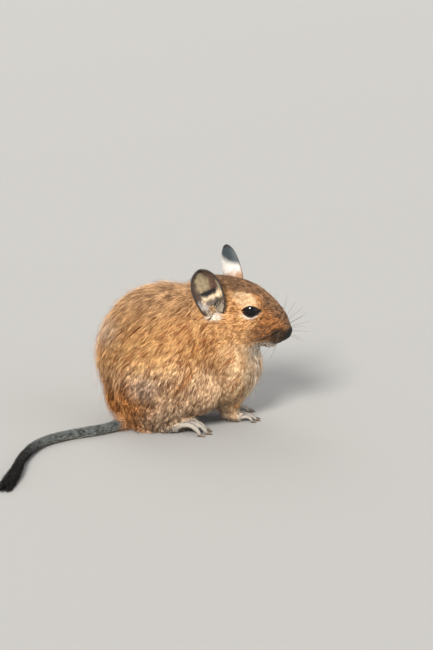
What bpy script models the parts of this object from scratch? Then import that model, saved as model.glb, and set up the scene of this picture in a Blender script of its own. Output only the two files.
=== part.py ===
"""A degu at life size, as a still model that sits hunched on its four feet.

The animal faces +X, its left side is +Y and +Z is up. Sizes are in millimetres until a mesh is made.
The flesh is modelled whole, as one smooth skin over ellipsoids and a lofted head, and then parted by
thin cuts into head, neck, torso and legs. Feet, ears, eyes and tail are added where they grow.
"""

import math
import random

import bmesh
import bpy
import numpy as np
from mathutils import Matrix, Vector
from mathutils.bvhtree import BVHTree

MM = 0.001

# Steps that a smooth path takes between two of its points
STEPS_BETWEEN = 20

# Driving dimensions of this small adult, to the tips of its coat
TRUNK_LENGTH = 85.0
TRUNK_WIDTH = 62.0
BACK_HEIGHT = 73.5
HEAD_LENGTH = 57.0
EAR_LENGTH = 24.8
EYE_RADIUS = 5.1
HIND_FOOT_LENGTH = 38.0
FORE_FOOT_LENGTH = 15.5
TAIL_LENGTH = 118.0
TAIL_RADIUS = 2.85

# The clearance between touching nodes, and the coat's height off the floor
GAP = 0.3
COAT_CLEARANCE = 0.9

# Where the rump ends, and how the head is carried
RUMP_X = -0.568 * TRUNK_LENGTH
HEAD_PLACE = (0.384 * TRUNK_LENGTH, -0.16 * TRUNK_WIDTH, 0.832 * BACK_HEIGHT)
HEAD_YAW = math.radians(28)
HEAD_PITCH = math.radians(15)
HEAD_ROLL = math.radians(5)

# Masses of the trunk: place, then half sizes, as shares of its length, half width and height, then pitch
TRUNK_MASSES = {
    "barrel": ((0.414, 0.0, 0.495), (0.412, 0.88, 0.500), 0),
    "ribs": ((0.690, 0.0, 0.560), (0.310, 0.78, 0.410), 20),
    "breast": ((0.772, -0.05, 0.425), (0.240, 0.62, 0.320), 0),
    "nape": ((0.680, -0.03, 0.760), (0.250, 0.56, 0.250), 5),
    "belly": ((0.560, 0.0, 0.330), (0.340, 0.72, 0.275), -8),
    "seat": ((0.285, 0.0, 0.190), (0.235, 0.62, 0.190), 0),
}
HEAD_CARRIERS = ("ribs", "breast", "nape")
PAIRED_MASSES = {
    "haunch": ((0.370, 0.60, 0.360), (0.290, 0.42, 0.320), 12),
    "knee": ((0.580, 0.64, 0.270), (0.150, 0.27, 0.165), 0),
    "shoulder": ((0.770, 0.48, 0.400), (0.140, 0.27, 0.240), -14),
    "forearm": ((0.805, 0.29, 0.130), (0.075, 0.14, 0.085), -35),
    "ankle": ((0.330, 0.54, 0.080), (0.195, 0.24, 0.080), 0),
}

# The head along its length, as shares of it: place from the eyes, top, underside, half width
HEAD_STATIONS = (
    (-0.630, 0.070, -0.420, 0.210),
    (-0.490, 0.150, -0.450, 0.245),
    (-0.316, 0.188, -0.440, 0.250),
    (-0.158, 0.208, -0.405, 0.232),
    (-0.035, 0.196, -0.377, 0.208),
    (0.070, 0.161, -0.347, 0.181),
    (0.158, 0.118, -0.316, 0.155),
    (0.228, 0.074, -0.284, 0.127),
    (0.290, 0.021, -0.249, 0.098),
    (0.333, -0.042, -0.207, 0.067),
    (0.360, -0.095, -0.161, 0.028),
)
HEAD_TAPER = 0.14
HEAD_RING = 24
PAIRED_HEAD_MASSES = {
    "cheek": ((-0.158, 0.150, -0.175), (0.210, 0.130, 0.165)),
    "whisker_pad": ((0.228, 0.078, -0.165), (0.115, 0.075, 0.088)),
    "brow": ((-0.030, 0.120, 0.070), (0.120, 0.060, 0.055)),
    "ear_base": ((-0.345, 0.190, -0.010), (0.110, 0.085, 0.120)),
}
HEAD_MASSES = {
    "nose": ((0.337, 0.0, -0.112), (0.036, 0.052, 0.044)),
    "chin": ((0.165, 0.0, -0.282), (0.110, 0.075, 0.055)),
}

# Eyes: place on the head, the way they look, the lids' thickness and the almond between them, which is cut from
# one depth to another, in eye radii, with these powers for the bow of its edge
EYE_PLACE = (-0.008, 0.112, 0.0)
EYE_AIM = (0.20, 0.96, 0.16)
EYE_TILT = math.radians(17)
LID_THICKNESS = 0.9
LID_OPENING = (0.92, 0.58)
LID_RING = 16
LID_CUT = (0.3, 2.0)
LID_CURVE = (1.7, 0.85)

# Mouth, philtrum and nostrils, as shares of head length, cut into the skin
MOUTH_LINE = ((0.345, 0.0, -0.215), (0.310, 0.045, -0.232), (0.255, 0.085, -0.248), (0.195, 0.120, -0.245))
PHILTRUM = ((0.372, 0.0, -0.150), (0.352, 0.0, -0.190), (0.340, 0.0, -0.222))
GROOVE_RADIUS = 0.42
GROOVE_STEPS = 7
GROOVE_SIDES = 6
NOSTRIL_PLACE = (0.356, 0.030, -0.112)
NOSTRIL_SIZE = (0.016, 0.011, 0.016)

# Whiskers: where their rows are rooted in the pads, as shares of head length, from the first to the last. Then
# how each side's fan opens, right (-1) and left (1): its sweep forwards, and its rise, both in degrees.
WHISKER_ROOTS = ((0.290, 0.070, -0.110), (0.195, 0.085, -0.195))
WHISKER_SWEEPS = {-1: (10, -32), 1: (42, -20)}
WHISKER_RISES = {-1: (14, -12), 1: (34, -12)}
WHISKER_LENGTHS = (0.32, 0.46)
WHISKER_DROOP = (-0.08, 0.0, -0.12)
WHISKER_RADII = (0.30, 0.25, 0.20, 0.12)
WHISKER_SIDES = 4
WHISKER_ROWS = 2
WHISKERS_IN_ROW = 3

# Ears, right (-1) and left (1), the left one pricked higher: root and tip as shares of head length, and the
# way the cup opens. Then the leaf's outline and how its cup rolls up.
EAR_ROOT = {-1: (-0.254, 0.305, -0.080), 1: (-0.258, 0.305, -0.039)}
EAR_TIP = {-1: (-0.496, 0.342, 0.285), 1: (-0.502, 0.342, 0.365)}
EAR_AIM = {-1: (0.42, 0.86, 0.20), 1: (0.52, 0.80, 0.20)}
EAR_HALF_WIDTH = 0.30
EAR_WIDEST = 0.52
EAR_CUP_ANGLES = (math.radians(100), math.radians(50))
EAR_CUP_DEPTH = 0.75
EAR_ROUNDNESS = 2.2
EAR_TIP_CLOSES = 0.995
EAR_FOOT_CLOSES = 0.93
EAR_THICKNESS = 0.9
EAR_GRID = 11

# What each node takes out of the flesh: place, half sizes and pitch, as for the masses
HEAD_REGION = ((0.0, 0.0, 0.070), (0.491, 0.520, 0.474))
LIMB_REGIONS = {
    "hindleg": ((0.410, 0.92, 0.310), (0.335, 0.62, 0.345), 8),
    "foreleg": ((0.790, 0.62, 0.270), (0.165, 0.50, 0.330), -20),
}
NECK_TOP = (0.450, 0.0, 1.010)
NECK_FRONT = (0.990, 0.0, 0.370)

# Feet, in shares of their length: heel on the floor, the sole's middle line as place along and height, and
# each toe's root along and aside, its fan in degrees and its length
HIND_FOOT = {
    "heel": (-0.365 * TRUNK_LENGTH, 0.50 * TRUNK_WIDTH / 2),
    "yaw": math.radians(16),
    "length": HIND_FOOT_LENGTH,
    "sole": ((0.01, 0.060), (0.06, 0.070), (0.25, 0.078), (0.46, 0.088), (0.60, 0.092)),
    "sole_radii": (0.035, 0.068, 0.080, 0.094, 0.098),
    "toes": (
        (0.57, -0.065, -16, 0.33),
        (0.59, -0.025, -6, 0.38),
        (0.59, 0.025, 3, 0.39),
        (0.57, 0.068, 13, 0.34),
    ),
    "inner_toe": (0.46, -0.085, -24, 0.19),
    "toe_radius": 0.038,
    "toe_rise": 0.085,
    "claw": 0.060,
}
FORE_FOOT = {
    "heel": (0.225 * TRUNK_LENGTH, 0.23 * TRUNK_WIDTH / 2),
    "yaw": math.radians(4),
    "length": FORE_FOOT_LENGTH,
    "sole": ((-0.20, 0.34), (-0.10, 0.28), (0.10, 0.17), (0.32, 0.15), (0.46, 0.15)),
    "sole_radii": (0.10, 0.17, 0.18, 0.18, 0.15),
    "toes": (
        (0.42, -0.12, -20, 0.42),
        (0.46, -0.04, -6, 0.50),
        (0.46, 0.04, 7, 0.48),
        (0.42, 0.12, 22, 0.38),
    ),
    "inner_toe": (0.20, -0.18, -38, 0.20),
    "toe_radius": 0.068,
    "toe_rise": 0.085,
    "claw": 0.11,
}

# How high the middle of a toe's tip is, as a share of the toe's radius, so that it stands on a flat. Then the
# steps along a toe, how far its middle line bends down, and how thick it is from root to tip.
TOE_TIP_HEIGHT = 0.35
TOE_STEPS = 6
TOE_SWEEP = math.radians(80)
TOE_THICKNESS = (1.20, 0.84)
TOE_SIDES = 10
SOLE_SIDES = 12
CLAW_SIDES = 6

# The claws' radii from root to tip, as shares of the toe's, their sink into it and how far they hook down
CLAW_RADII = (0.62, 0.55, 0.42, 0.22)
CLAW_SINK = 0.7
CLAW_RISE = 0.3
CLAW_HOOK = 0.7

# The tail's way over the floor from its root, as shares of its length, and how it thins. Then how its tuft grows:
# each lock starts at a share of the tail's radius, and grows narrower and thinner by a share at its tip.
TAIL_ROUTE = (
    (-0.250, -0.050, 0.035),
    (-0.330, -0.110, 0.006),
    (-0.420, -0.155, 0.0),
    (-0.565, -0.205, 0.0),
    (-0.680, -0.290, 0.0),
    (-0.755, -0.450, 0.0),
    (-0.795, -0.625, 0.0),
    (-0.840, -0.770, 0.0),
)
TAIL_STEPS = 60
TAIL_SIDES = 12
TAIL_TAPER = (1.06, 0.76)
TAIL_END = 0.88
TAIL_END_CLOSES = 0.7
TAIL_PARTS = {"tail_base": (0.0, 0.32), "tail_middle": (0.32, 0.62), "tail_tuft": (0.62, 0.94)}
TAIL_SINK = 0.90
LOCK_RINGS = 5
LOCKS_AROUND = 7
LOCK_LENGTHS = (8.0, 12.0)
LOCK_WIDTH = 2.0
LOCK_THICKNESS = 0.8
LOCK_STAND = 0.17
LOCK_SINK = 0.5
LOCK_TAPER = 0.8
LOCK_THINS = 0.4
LOCK_STEPS = 4
LOCK_UNEVENNESS = 0.15

# Fineness of each skin before it is thinned out, rounds of smoothing, and the triangles that it keeps
TRUNK_SKIN = {"voxel": 1.1, "rounds": 24, "triangles": 2600}
HEAD_SKIN = {"voxel": 0.55, "rounds": 14, "triangles": 3000}
HIND_FOOT_SKIN = {"voxel": 0.36, "rounds": 3, "triangles": 400}
FORE_FOOT_SKIN = {"voxel": 0.30, "rounds": 3, "triangles": 300}

# Triangles that a node keeps once it is cut, where the cuts leave slivers
NODE_TRIANGLES = {"torso": 2500, "head": 3500, "neck": 700, "hindleg": 620, "foreleg": 440}

# The nodes that the ears are set into
ROUND_THE_EARS = ("head", "neck", "torso")

# Colour and roughness of each kind of node
FUR = ((0.42, 0.24, 0.10, 1.0), 0.85)
PALE_FUR = ((0.52, 0.42, 0.30, 1.0), 0.85)
EAR_SKIN = ((0.12, 0.09, 0.07, 1.0), 0.55)
EYE_GLOSS = ((0.004, 0.004, 0.005, 1.0), 0.05)
TAIL_FUR = ((0.09, 0.09, 0.10, 1.0), 0.80)
FOOT_SKIN = ((0.38, 0.33, 0.28, 1.0), 0.65)


def mix(first, last, share):
    return first + (last - first) * share


def head_axes():
    """The head's own frame: forward through the nose, left and up, from between the eyes."""
    forward = Vector(
        (
            math.cos(HEAD_YAW) * math.cos(HEAD_PITCH),
            -math.sin(HEAD_YAW) * math.cos(HEAD_PITCH),
            -math.sin(HEAD_PITCH),
        )
    )
    left = Vector((math.sin(HEAD_YAW), math.cos(HEAD_YAW), 0.0))
    turn = Matrix((forward, left, forward.cross(left))).transposed()
    return Matrix.Translation(HEAD_PLACE) @ (turn @ Matrix.Rotation(HEAD_ROLL, 3, "X")).to_4x4()


HEAD = head_axes()
HEAD_TURN = HEAD.to_3x3().to_4x4()


def on_trunk(along, aside, up):
    return Vector((RUMP_X + along * TRUNK_LENGTH, aside * TRUNK_WIDTH / 2, up * BACK_HEIGHT))


def on_head(along, aside, up):
    return HEAD @ (Vector((along, aside, up)) * HEAD_LENGTH)


# Ways of making and joining meshes


def make_object(name, points, faces):
    """A mesh object from points in millimetres."""
    mesh = bpy.data.meshes.new(name)
    mesh.from_pydata([tuple(MM * value for value in point) for point in points], [], faces)
    obj = bpy.data.objects.new(name, mesh)
    bpy.context.scene.collection.objects.link(obj)
    return obj


def remove(*objects):
    for obj in objects:
        bpy.data.objects.remove(obj)


def face_outwards(obj):
    form = bmesh.new()
    form.from_mesh(obj.data)
    bmesh.ops.recalc_face_normals(form, faces=form.faces)
    form.to_mesh(obj.data)
    form.free()


def ellipsoid(name, centre, radii, turn=None, level=4):
    """A ball of triangles, stretched to its radii, turned and placed."""
    form = bmesh.new()
    bmesh.ops.create_icosphere(form, subdivisions=level, radius=1.0)
    matrix = Matrix.Translation(centre) @ (turn or Matrix.Identity(4)) @ Matrix.Diagonal((*radii, 1.0))
    points = [matrix @ vert.co for vert in form.verts]
    faces = [[vert.index for vert in face.verts] for face in form.faces]
    form.free()
    return make_object(name, points, faces)


def loft(name, rings):
    """A closed skin over rings of points, each end shut by a fan."""
    count = len(rings[0])
    points = [Vector(point) for ring in rings for point in ring]
    faces = []
    for row in range(len(rings) - 1):
        for i in range(count):
            j = (i + 1) % count
            faces.append([row * count + i, row * count + j, (row + 1) * count + j, (row + 1) * count + i])
    for start in (0, (len(rings) - 1) * count):
        middle = len(points)
        points.append(sum(points[start : start + count], Vector()) / count)
        faces += [[middle, start + i, start + (i + 1) % count] for i in range(count)]
    obj = make_object(name, points, faces)
    face_outwards(obj)
    return obj


def tube(name, path, radii, sides):
    """A round tube along a path, with a radius at each point."""
    path = [Vector(point) for point in path]
    side = (path[1] - path[0]).orthogonal()
    rings = []
    for i, point in enumerate(path):
        ahead = (path[min(i + 1, len(path) - 1)] - path[max(i - 1, 0)]).normalized()
        side = (side - ahead * side.dot(ahead)).normalized()
        over = ahead.cross(side)
        angles = [math.tau * k / sides for k in range(sides)]
        rings.append([point + radii[i] * (side * math.cos(a) + over * math.sin(a)) for a in angles])
    return loft(name, rings)


def smooth_path(points, count):
    """A Catmull-Rom curve through the points, read off at even steps of its length."""
    points = [Vector(point) for point in points]
    ends = [2 * points[0] - points[1], *points, 2 * points[-1] - points[-2]]
    fine = []
    for i in range(len(points) - 1):
        a, b, c, d = ends[i : i + 4]
        for k in range(STEPS_BETWEEN):
            t = k / STEPS_BETWEEN
            slope = (c - a) * t
            bend = (2 * a - 5 * b + 4 * c - d) * t**2
            twist = (3 * b - a - 3 * c + d) * t**3
            fine.append((2 * b + slope + bend + twist) / 2)
    fine = np.array([tuple(point) for point in [*fine, points[-1]]])
    travelled = np.concatenate([[0.0], np.cumsum(np.linalg.norm(np.diff(fine, axis=0), axis=1))])
    wanted = np.linspace(0.0, travelled[-1], count)
    return [Vector([np.interp(value, travelled, fine[:, axis]) for axis in range(3)]) for value in wanted]


def bake(obj):
    """Turns the object's modifiers into its mesh."""
    graph = bpy.context.evaluated_depsgraph_get()
    mesh = bpy.data.meshes.new_from_object(obj.evaluated_get(graph))
    obj.modifiers.clear()
    obj.data = mesh
    return obj


def join(name, pieces):
    """One object that holds the pieces' meshes, still as separate surfaces."""
    form = bmesh.new()
    for piece in pieces:
        form.from_mesh(piece.data)
    mesh = bpy.data.meshes.new(name)
    form.to_mesh(mesh)
    form.free()
    remove(*pieces)
    obj = bpy.data.objects.new(name, mesh)
    bpy.context.scene.collection.objects.link(obj)
    return obj


def melt(name, pieces, skin):
    """One smooth skin over overlapping pieces, thinned out to its share of triangles."""
    obj = join(name, pieces)
    remesh = obj.modifiers.new("skin", "REMESH")
    remesh.mode = "VOXEL"
    remesh.voxel_size = skin["voxel"] * MM
    smooth = obj.modifiers.new("soften", "SMOOTH")
    smooth.factor = 0.5
    smooth.iterations = skin["rounds"]
    return thin_out(bake(obj), skin["triangles"])


def thin_out(obj, triangles):
    """Collapses the flattest edges until about this many triangles are left."""
    count = sum(len(face.vertices) - 2 for face in obj.data.polygons)
    decimate = obj.modifiers.new("thin", "DECIMATE")
    decimate.ratio = min(1.0, triangles / count)
    decimate.use_collapse_triangulate = True
    bake(obj)
    keep_largest(obj)
    return obj


def combine(obj, operation, *others):
    """Applies one Boolean with the others, and removes them."""
    group = bpy.data.collections.new(operation)
    for other in others:
        bpy.context.scene.collection.objects.unlink(other)
        group.objects.link(other)
    modifier = obj.modifiers.new(operation, "BOOLEAN")
    modifier.operation = operation
    modifier.operand_type = "COLLECTION"
    modifier.collection = group
    bake(obj)
    remove(*others)
    bpy.data.collections.remove(group)
    keep_largest(obj)
    return obj


def copy_of(obj, name):
    twin = bpy.data.objects.new(name, obj.data.copy())
    bpy.context.scene.collection.objects.link(twin)
    return twin


def grown(obj, distance):
    """A copy whose surface stands out by a distance."""
    twin = copy_of(obj, obj.name + "_grown")
    swell = twin.modifiers.new("swell", "DISPLACE")
    swell.direction = "NORMAL"
    swell.mid_level = 0.0
    swell.strength = distance * MM
    return bake(twin)


def keep_largest(obj):
    """Drops every surface but the largest, where faces belong together across an edge of just two."""
    form = bmesh.new()
    form.from_mesh(obj.data)
    left = set(form.faces)
    groups = []
    while left:
        front = [left.pop()]
        group = []
        while front:
            face = front.pop()
            group.append(face)
            edges = [edge for edge in face.edges if len(edge.link_faces) == 2]
            near = {other for edge in edges for other in edge.link_faces} & left
            left -= near
            front += near
        groups.append(group)
    groups.sort(key=len)
    bmesh.ops.delete(form, geom=[face for group in groups[:-1] for face in group], context="FACES")
    form.to_mesh(obj.data)
    form.free()


def slice_off(obj, point, normal):
    """Cuts the object by a plane and closes the cut. What the normal points to goes."""
    form = bmesh.new()
    form.from_mesh(obj.data)
    whole = form.verts[:] + form.edges[:] + form.faces[:]
    cut = bmesh.ops.bisect_plane(
        form, geom=whole, dist=1e-7, plane_co=Vector(point) * MM, plane_no=normal, clear_outer=True
    )
    edges = [item for item in cut["geom_cut"] if isinstance(item, bmesh.types.BMEdge)]
    bmesh.ops.holes_fill(form, edges=edges, sides=0)
    bmesh.ops.triangulate(form, faces=form.faces)
    form.to_mesh(obj.data)
    form.free()
    keep_largest(obj)
    return obj


# The flesh


def trunk_form(name, form, side=1, more=0.0):
    """One ellipsoid of the trunk. A positive pitch lifts its front."""
    (along, aside, up), (length, width, height), pitch = form
    radii = (length * TRUNK_LENGTH + more, width * TRUNK_WIDTH / 2 + more, height * BACK_HEIGHT + more)
    turn = Matrix.Rotation(-math.radians(pitch), 4, "Y")
    return ellipsoid(name, on_trunk(along, side * aside, up), radii, turn, level=3 if more else 4)


def head_form(name, form, side=1, more=0.0):
    (along, aside, up), half_sizes = form
    radii = [size * HEAD_LENGTH + more for size in half_sizes]
    return ellipsoid(name, on_head(along, side * aside, up), radii, HEAD_TURN)


def skull():
    """The head's loft. Each section is an egg, narrower at the top."""
    rings = []
    for along, top, under, half_width in HEAD_STATIONS:
        ring = []
        for k in range(HEAD_RING):
            rise = math.sin(math.tau * k / HEAD_RING)
            reach = math.cos(math.tau * k / HEAD_RING) * (1 - HEAD_TAPER * rise)
            ring.append(on_head(along, half_width * reach, (top + under) / 2 + rise * (top - under) / 2))
        rings.append(ring)
    return loft("skull", rings)


def eye_ball(name, side, more=0.0, level=3):
    along, aside, up = EYE_PLACE
    return ellipsoid(name, on_head(along, side * aside, up), [EYE_RADIUS + more] * 3, HEAD_TURN, level)


def head_masses():
    """The skull, the flesh on it and the trunk's masses that it runs into."""
    pieces = [skull()]
    pieces += [trunk_form(name, TRUNK_MASSES[name]) for name in HEAD_CARRIERS]
    pieces += [head_form(name, form) for name, form in HEAD_MASSES.items()]
    for side in (1, -1):
        pieces += [head_form(name, form, side) for name, form in PAIRED_HEAD_MASSES.items()]
        pieces.append(eye_ball("lids", side, LID_THICKNESS + GAP, level=4))
    return pieces


def all_masses():
    """Every mass of flesh, as overlapping closed pieces."""
    pieces = head_masses()
    pieces += [trunk_form(name, form) for name, form in TRUNK_MASSES.items() if name not in HEAD_CARRIERS]
    for side in (1, -1):
        pieces += [trunk_form(name, form, side) for name, form in PAIRED_MASSES.items()]
    return pieces


def lid_opening(side):
    """A bar with an almond's outline, from inside the eye outwards, that parts the lids."""
    along, aside, up = EYE_PLACE
    middle = Vector((along, side * aside, up)) * HEAD_LENGTH
    outwards = Vector((EYE_AIM[0], side * EYE_AIM[1], EYE_AIM[2])).normalized()
    ahead = Vector((math.cos(EYE_TILT), 0.0, math.sin(EYE_TILT)))
    ahead = (ahead - outwards * ahead.dot(outwards)).normalized()
    over = ahead.cross(outwards)
    rings = []
    for depth in LID_CUT:
        ring = []
        for k in range(LID_RING):
            angle = math.tau * k / LID_RING
            reach = math.cos(angle)
            height = max(0.0, 1 - abs(reach) ** LID_CURVE[0]) ** LID_CURVE[1]
            rise = math.copysign(height, math.sin(angle))
            corner = ahead * reach * LID_OPENING[0] + over * rise * LID_OPENING[1] + outwards * depth
            ring.append(HEAD @ (middle + corner * EYE_RADIUS))
        rings.append(ring)
    return loft("lid_opening", rings)


def groove(obj, route):
    """A thin round cutter that follows the skin along a route of points near it."""
    tree = BVHTree.FromObject(obj, bpy.context.evaluated_depsgraph_get())
    path = []
    for point in smooth_path([on_head(*point) for point in route], GROOVE_STEPS):
        path.append(tree.find_nearest(point * MM)[0] / MM)
    return tube("groove", path, [GROOVE_RADIUS] * len(path), GROOVE_SIDES)


def carve_face(head):
    """Sockets, the almonds between the lids, nostrils, philtrum and the line of the mouth."""
    sockets = [eye_ball("socket", side, GAP) for side in (1, -1)]
    combine(head, "DIFFERENCE", *sockets, *[lid_opening(side) for side in (1, -1)])
    left_mouth = [(along, -aside, up) for along, aside, up in MOUTH_LINE[:0:-1]]
    cutters = [groove(head, [*left_mouth, *MOUTH_LINE]), groove(head, PHILTRUM)]
    nostrils = [
        head_form("nostril", ((NOSTRIL_PLACE[0], side * NOSTRIL_PLACE[1], NOSTRIL_PLACE[2]), NOSTRIL_SIZE))
        for side in (1, -1)
    ]
    for cutter in cutters + nostrils:
        combine(head, "DIFFERENCE", cutter)


def whisker(side, row, place):
    """One whisker, where row runs from 0, the upper, to 1 and place from 0, at the nose, to 1."""
    first, last = WHISKER_ROOTS
    root = Vector((mix(first[0], last[0], place), side * mix(first[1], last[1], place), mix(first[2], last[2], row)))
    sweep = math.radians(mix(*WHISKER_SWEEPS[side], place))
    rise = math.radians(mix(*WHISKER_RISES[side], row))
    level = math.cos(rise)
    way = Vector((math.sin(sweep) * level, side * math.cos(sweep) * level, math.sin(rise)))
    length = mix(*WHISKER_LENGTHS, place)
    path = []
    for k in range(len(WHISKER_RADII)):
        t = k / (len(WHISKER_RADII) - 1)
        path.append(on_head(*(root + way * length * t + Vector(WHISKER_DROOP) * length * t * t)))
    return tube("whisker", path, WHISKER_RADII, WHISKER_SIDES)


def make_whiskers():
    """The longest whiskers, rooted in the pads on both sides of the nose."""
    whiskers = []
    for side in (1, -1):
        for row in range(WHISKER_ROWS):
            for place in range(WHISKERS_IN_ROW):
                whiskers.append(whisker(side, row / (WHISKER_ROWS - 1), place / (WHISKERS_IN_ROW - 1)))
    return whiskers


def take(flesh, name, form, side):
    """Parts one limb from the flesh, with a thin cut between them."""
    node = copy_of(flesh, name)
    combine(node, "INTERSECT", trunk_form("inner", form, side, -GAP / 2))
    combine(flesh, "DIFFERENCE", trunk_form("outer", form, side, GAP / 2))
    return node


def split_neck(flesh):
    """The neck is what the flesh holds in front of a slanting plane."""
    top, front = on_trunk(*NECK_TOP), on_trunk(*NECK_FRONT)
    down = (front - top).normalized()
    forwards = Vector((-down.z, 0.0, down.x))
    neck = copy_of(flesh, "neck")
    slice_off(neck, top + forwards * GAP / 2, -forwards)
    slice_off(flesh, top - forwards * GAP / 2, forwards)
    return neck


# What grows out of the flesh


def toe_path(base, angle, length, rise, tip_height):
    """A toe's middle line: up over its knuckle and down to its tip."""
    path = []
    for k in range(TOE_STEPS + 1):
        t = k / TOE_STEPS
        reach = length * math.sin(t * TOE_SWEEP) / math.sin(TOE_SWEEP)
        height = base.z * (1 - t) + tip_height * t + rise * math.sin(math.pi * t**0.8)
        path.append(Vector((base.x + reach * math.cos(angle), base.y + reach * math.sin(angle), height)))
    return path


def claw(toe, radius, length):
    """A short hooked claw, rooted in the end of a toe."""
    ahead = toe[-1] - toe[-2]
    ahead.z = 0.0
    ahead.normalize()
    up = Vector((0, 0, radius))
    root = toe[-1] - ahead * CLAW_SINK * radius + up * CLAW_RISE
    last = len(CLAW_RADII) - 1
    path = []
    for k in range(last + 1):
        t = k / last
        path.append(root + ahead * (length + CLAW_SINK * radius) * t - up * CLAW_HOOK * t * t)
    return tube("claw", path, [share * radius for share in CLAW_RADII], CLAW_SIDES)


def make_foot(name, plan, side, skin):
    """Sole, toes and claws as one closed body that stands on z = 0."""
    length = plan["length"]
    place = Matrix.Translation((plan["heel"][0], side * plan["heel"][1], 0.0))
    place = place @ Matrix.Rotation(side * plan["yaw"], 4, "Z") @ Matrix.Diagonal((1, side, 1, 1))
    sole = [place @ Vector((along * length, 0.0, up * length)) for along, up in plan["sole"]]
    pieces = [tube(name, sole, [radius * length for radius in plan["sole_radii"]], SOLE_SIDES)]
    claws = []
    radius = plan["toe_radius"] * length
    for along, aside, degrees, share in (*plan["toes"], plan["inner_toe"]):
        base = Vector((along, aside, plan["sole"][-1][1])) * length
        tip_height = TOE_TIP_HEIGHT * radius
        path = toe_path(base, math.radians(degrees), share * length, plan["toe_rise"] * length, tip_height)
        path = [place @ point for point in path]
        radii = [radius * mix(*TOE_THICKNESS, k / TOE_STEPS) for k in range(TOE_STEPS + 1)]
        pieces.append(tube(name, path, radii, TOE_SIDES))
        claws.append(claw(path, radius, plan["claw"] * length))
    obj = melt(name, pieces, skin)
    combine(obj, "UNION", *claws)
    return slice_off(obj, (0, 0, 0), (0, 0, -1))


def ear_leaf(side):
    """Points and quads of the ear's cupped middle sheet, deepest at its foot, with its rim in one plane."""
    root, tip, opening = [Vector(way[side]) * Vector((1, side, 1)) for way in (EAR_ROOT, EAR_TIP, EAR_AIM)]
    root *= HEAD_LENGTH
    up = (tip * HEAD_LENGTH - root).normalized()
    opening = (opening - up * opening.dot(up)).normalized()
    across = up.cross(opening)
    points = []
    for row in range(EAR_GRID):
        t = (1 - math.cos(math.pi * row / (EAR_GRID - 1))) / 2
        if t > EAR_WIDEST:
            spread = EAR_TIP_CLOSES * (t - EAR_WIDEST) / (1.0 - EAR_WIDEST)
        else:
            spread = EAR_FOOT_CLOSES * (EAR_WIDEST - t) / EAR_WIDEST
        rounding = (1 - spread**EAR_ROUNDNESS) ** (1 / EAR_ROUNDNESS)
        half_width = EAR_HALF_WIDTH * EAR_LENGTH * rounding
        roll = EAR_CUP_ANGLES[0] + (EAR_CUP_ANGLES[1] - EAR_CUP_ANGLES[0]) * t
        radius = half_width / math.sin(min(roll, math.pi / 2))
        for column in range(EAR_GRID):
            angle = roll * (2 * column / (EAR_GRID - 1) - 1)
            bend = across * math.sin(angle) - opening * (math.cos(angle) - math.cos(roll)) * EAR_CUP_DEPTH
            points.append(HEAD @ (root + up * EAR_LENGTH * t + radius * bend))
    quads = []
    for row in range(EAR_GRID - 1):
        for column in range(EAR_GRID - 1):
            first = row * EAR_GRID + column
            quads.append([first, first + 1, first + EAR_GRID + 1, first + EAR_GRID])
    return points, quads


def ear_shell(name, side):
    """The ear as a cupped leaf."""
    ear = make_object(name, *ear_leaf(side))
    shell = ear.modifiers.new("shell", "SOLIDIFY")
    shell.thickness = EAR_THICKNESS * MM
    shell.offset = 0.0
    bake(ear)
    face_outwards(ear)
    return ear


def ear_room(side):
    """The room inside the ear's cup, shut over its rim."""
    points, quads = ear_leaf(side)
    last = EAR_GRID - 1
    rim = list(range(EAR_GRID))
    rim += [row * EAR_GRID + last for row in range(1, EAR_GRID)]
    rim += [last * EAR_GRID + column for column in range(last - 1, -1, -1)]
    rim += [row * EAR_GRID for row in range(last - 1, 0, -1)]
    middle = len(points)
    points.append(sum((points[i] for i in rim), Vector()) / len(rim))
    lid = [[middle, rim[i], rim[(i + 1) % len(rim)]] for i in range(len(rim))]
    room = make_object("ear_room", points, quads + lid)
    face_outwards(room)
    return room


def ear_pocket():
    """What both ears take out of the flesh: their shells with the gap, and the room in their cups."""
    pieces = []
    for side in (-1, 1):
        shell = ear_shell("ear_shell", side)
        pieces += [grown(shell, GAP), ear_room(side)]
        remove(shell)
    return pieces


def tail_radius(t):
    """The tail thins slowly from its root, and closes at the end of its flesh."""
    end = max(0.0, (t - TAIL_END) / (1.0 - TAIL_END))
    return TAIL_RADIUS * mix(*TAIL_TAPER, t) * (1.0 - TAIL_END_CLOSES * end**2)


def tail_path():
    """The tail's middle line, which comes down from the rump and then lies on the floor."""
    path = smooth_path([Vector(point) * TAIL_LENGTH for point in TAIL_ROUTE], TAIL_STEPS + 1)
    for i, point in enumerate(path):
        point.z += TAIL_SINK * tail_radius(i / TAIL_STEPS)
    return path


def tail_part(name):
    """One length of the tail, with the gap to the next one taken off its end."""
    first, last = [round(share * TAIL_STEPS) for share in TAIL_PARTS[name]]
    path = tail_path()[first : last + 1]
    path[-1] = path[-1] - (path[-1] - path[-2]).normalized() * GAP
    radii = [tail_radius(i / TAIL_STEPS) for i in range(first, last + 1)]
    return tube(name, path[::2] + path[-1:], radii[::2] + radii[-1:], TAIL_SIDES)


def lock(point, ahead, outwards, radius, length):
    """One flat lock that leaves the tail at a slant, bends back along it and tapers to its tip."""
    across = ahead.cross(outwards)
    rings = []
    for k in range(LOCK_STEPS + 1):
        t = k / LOCK_STEPS
        rise = LOCK_SINK * radius + LOCK_STAND * length * math.sin(t * math.pi / 2)
        middle = point + ahead * length * t + outwards * rise
        wide = across * LOCK_WIDTH / 2 * (1.0 - LOCK_TAPER * t**1.5)
        thick = outwards * LOCK_THICKNESS / 2 * (1.0 - LOCK_THINS * t)
        rings.append([middle + wide, middle + thick, middle - wide, middle - thick])
    return loft("lock", rings)


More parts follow.
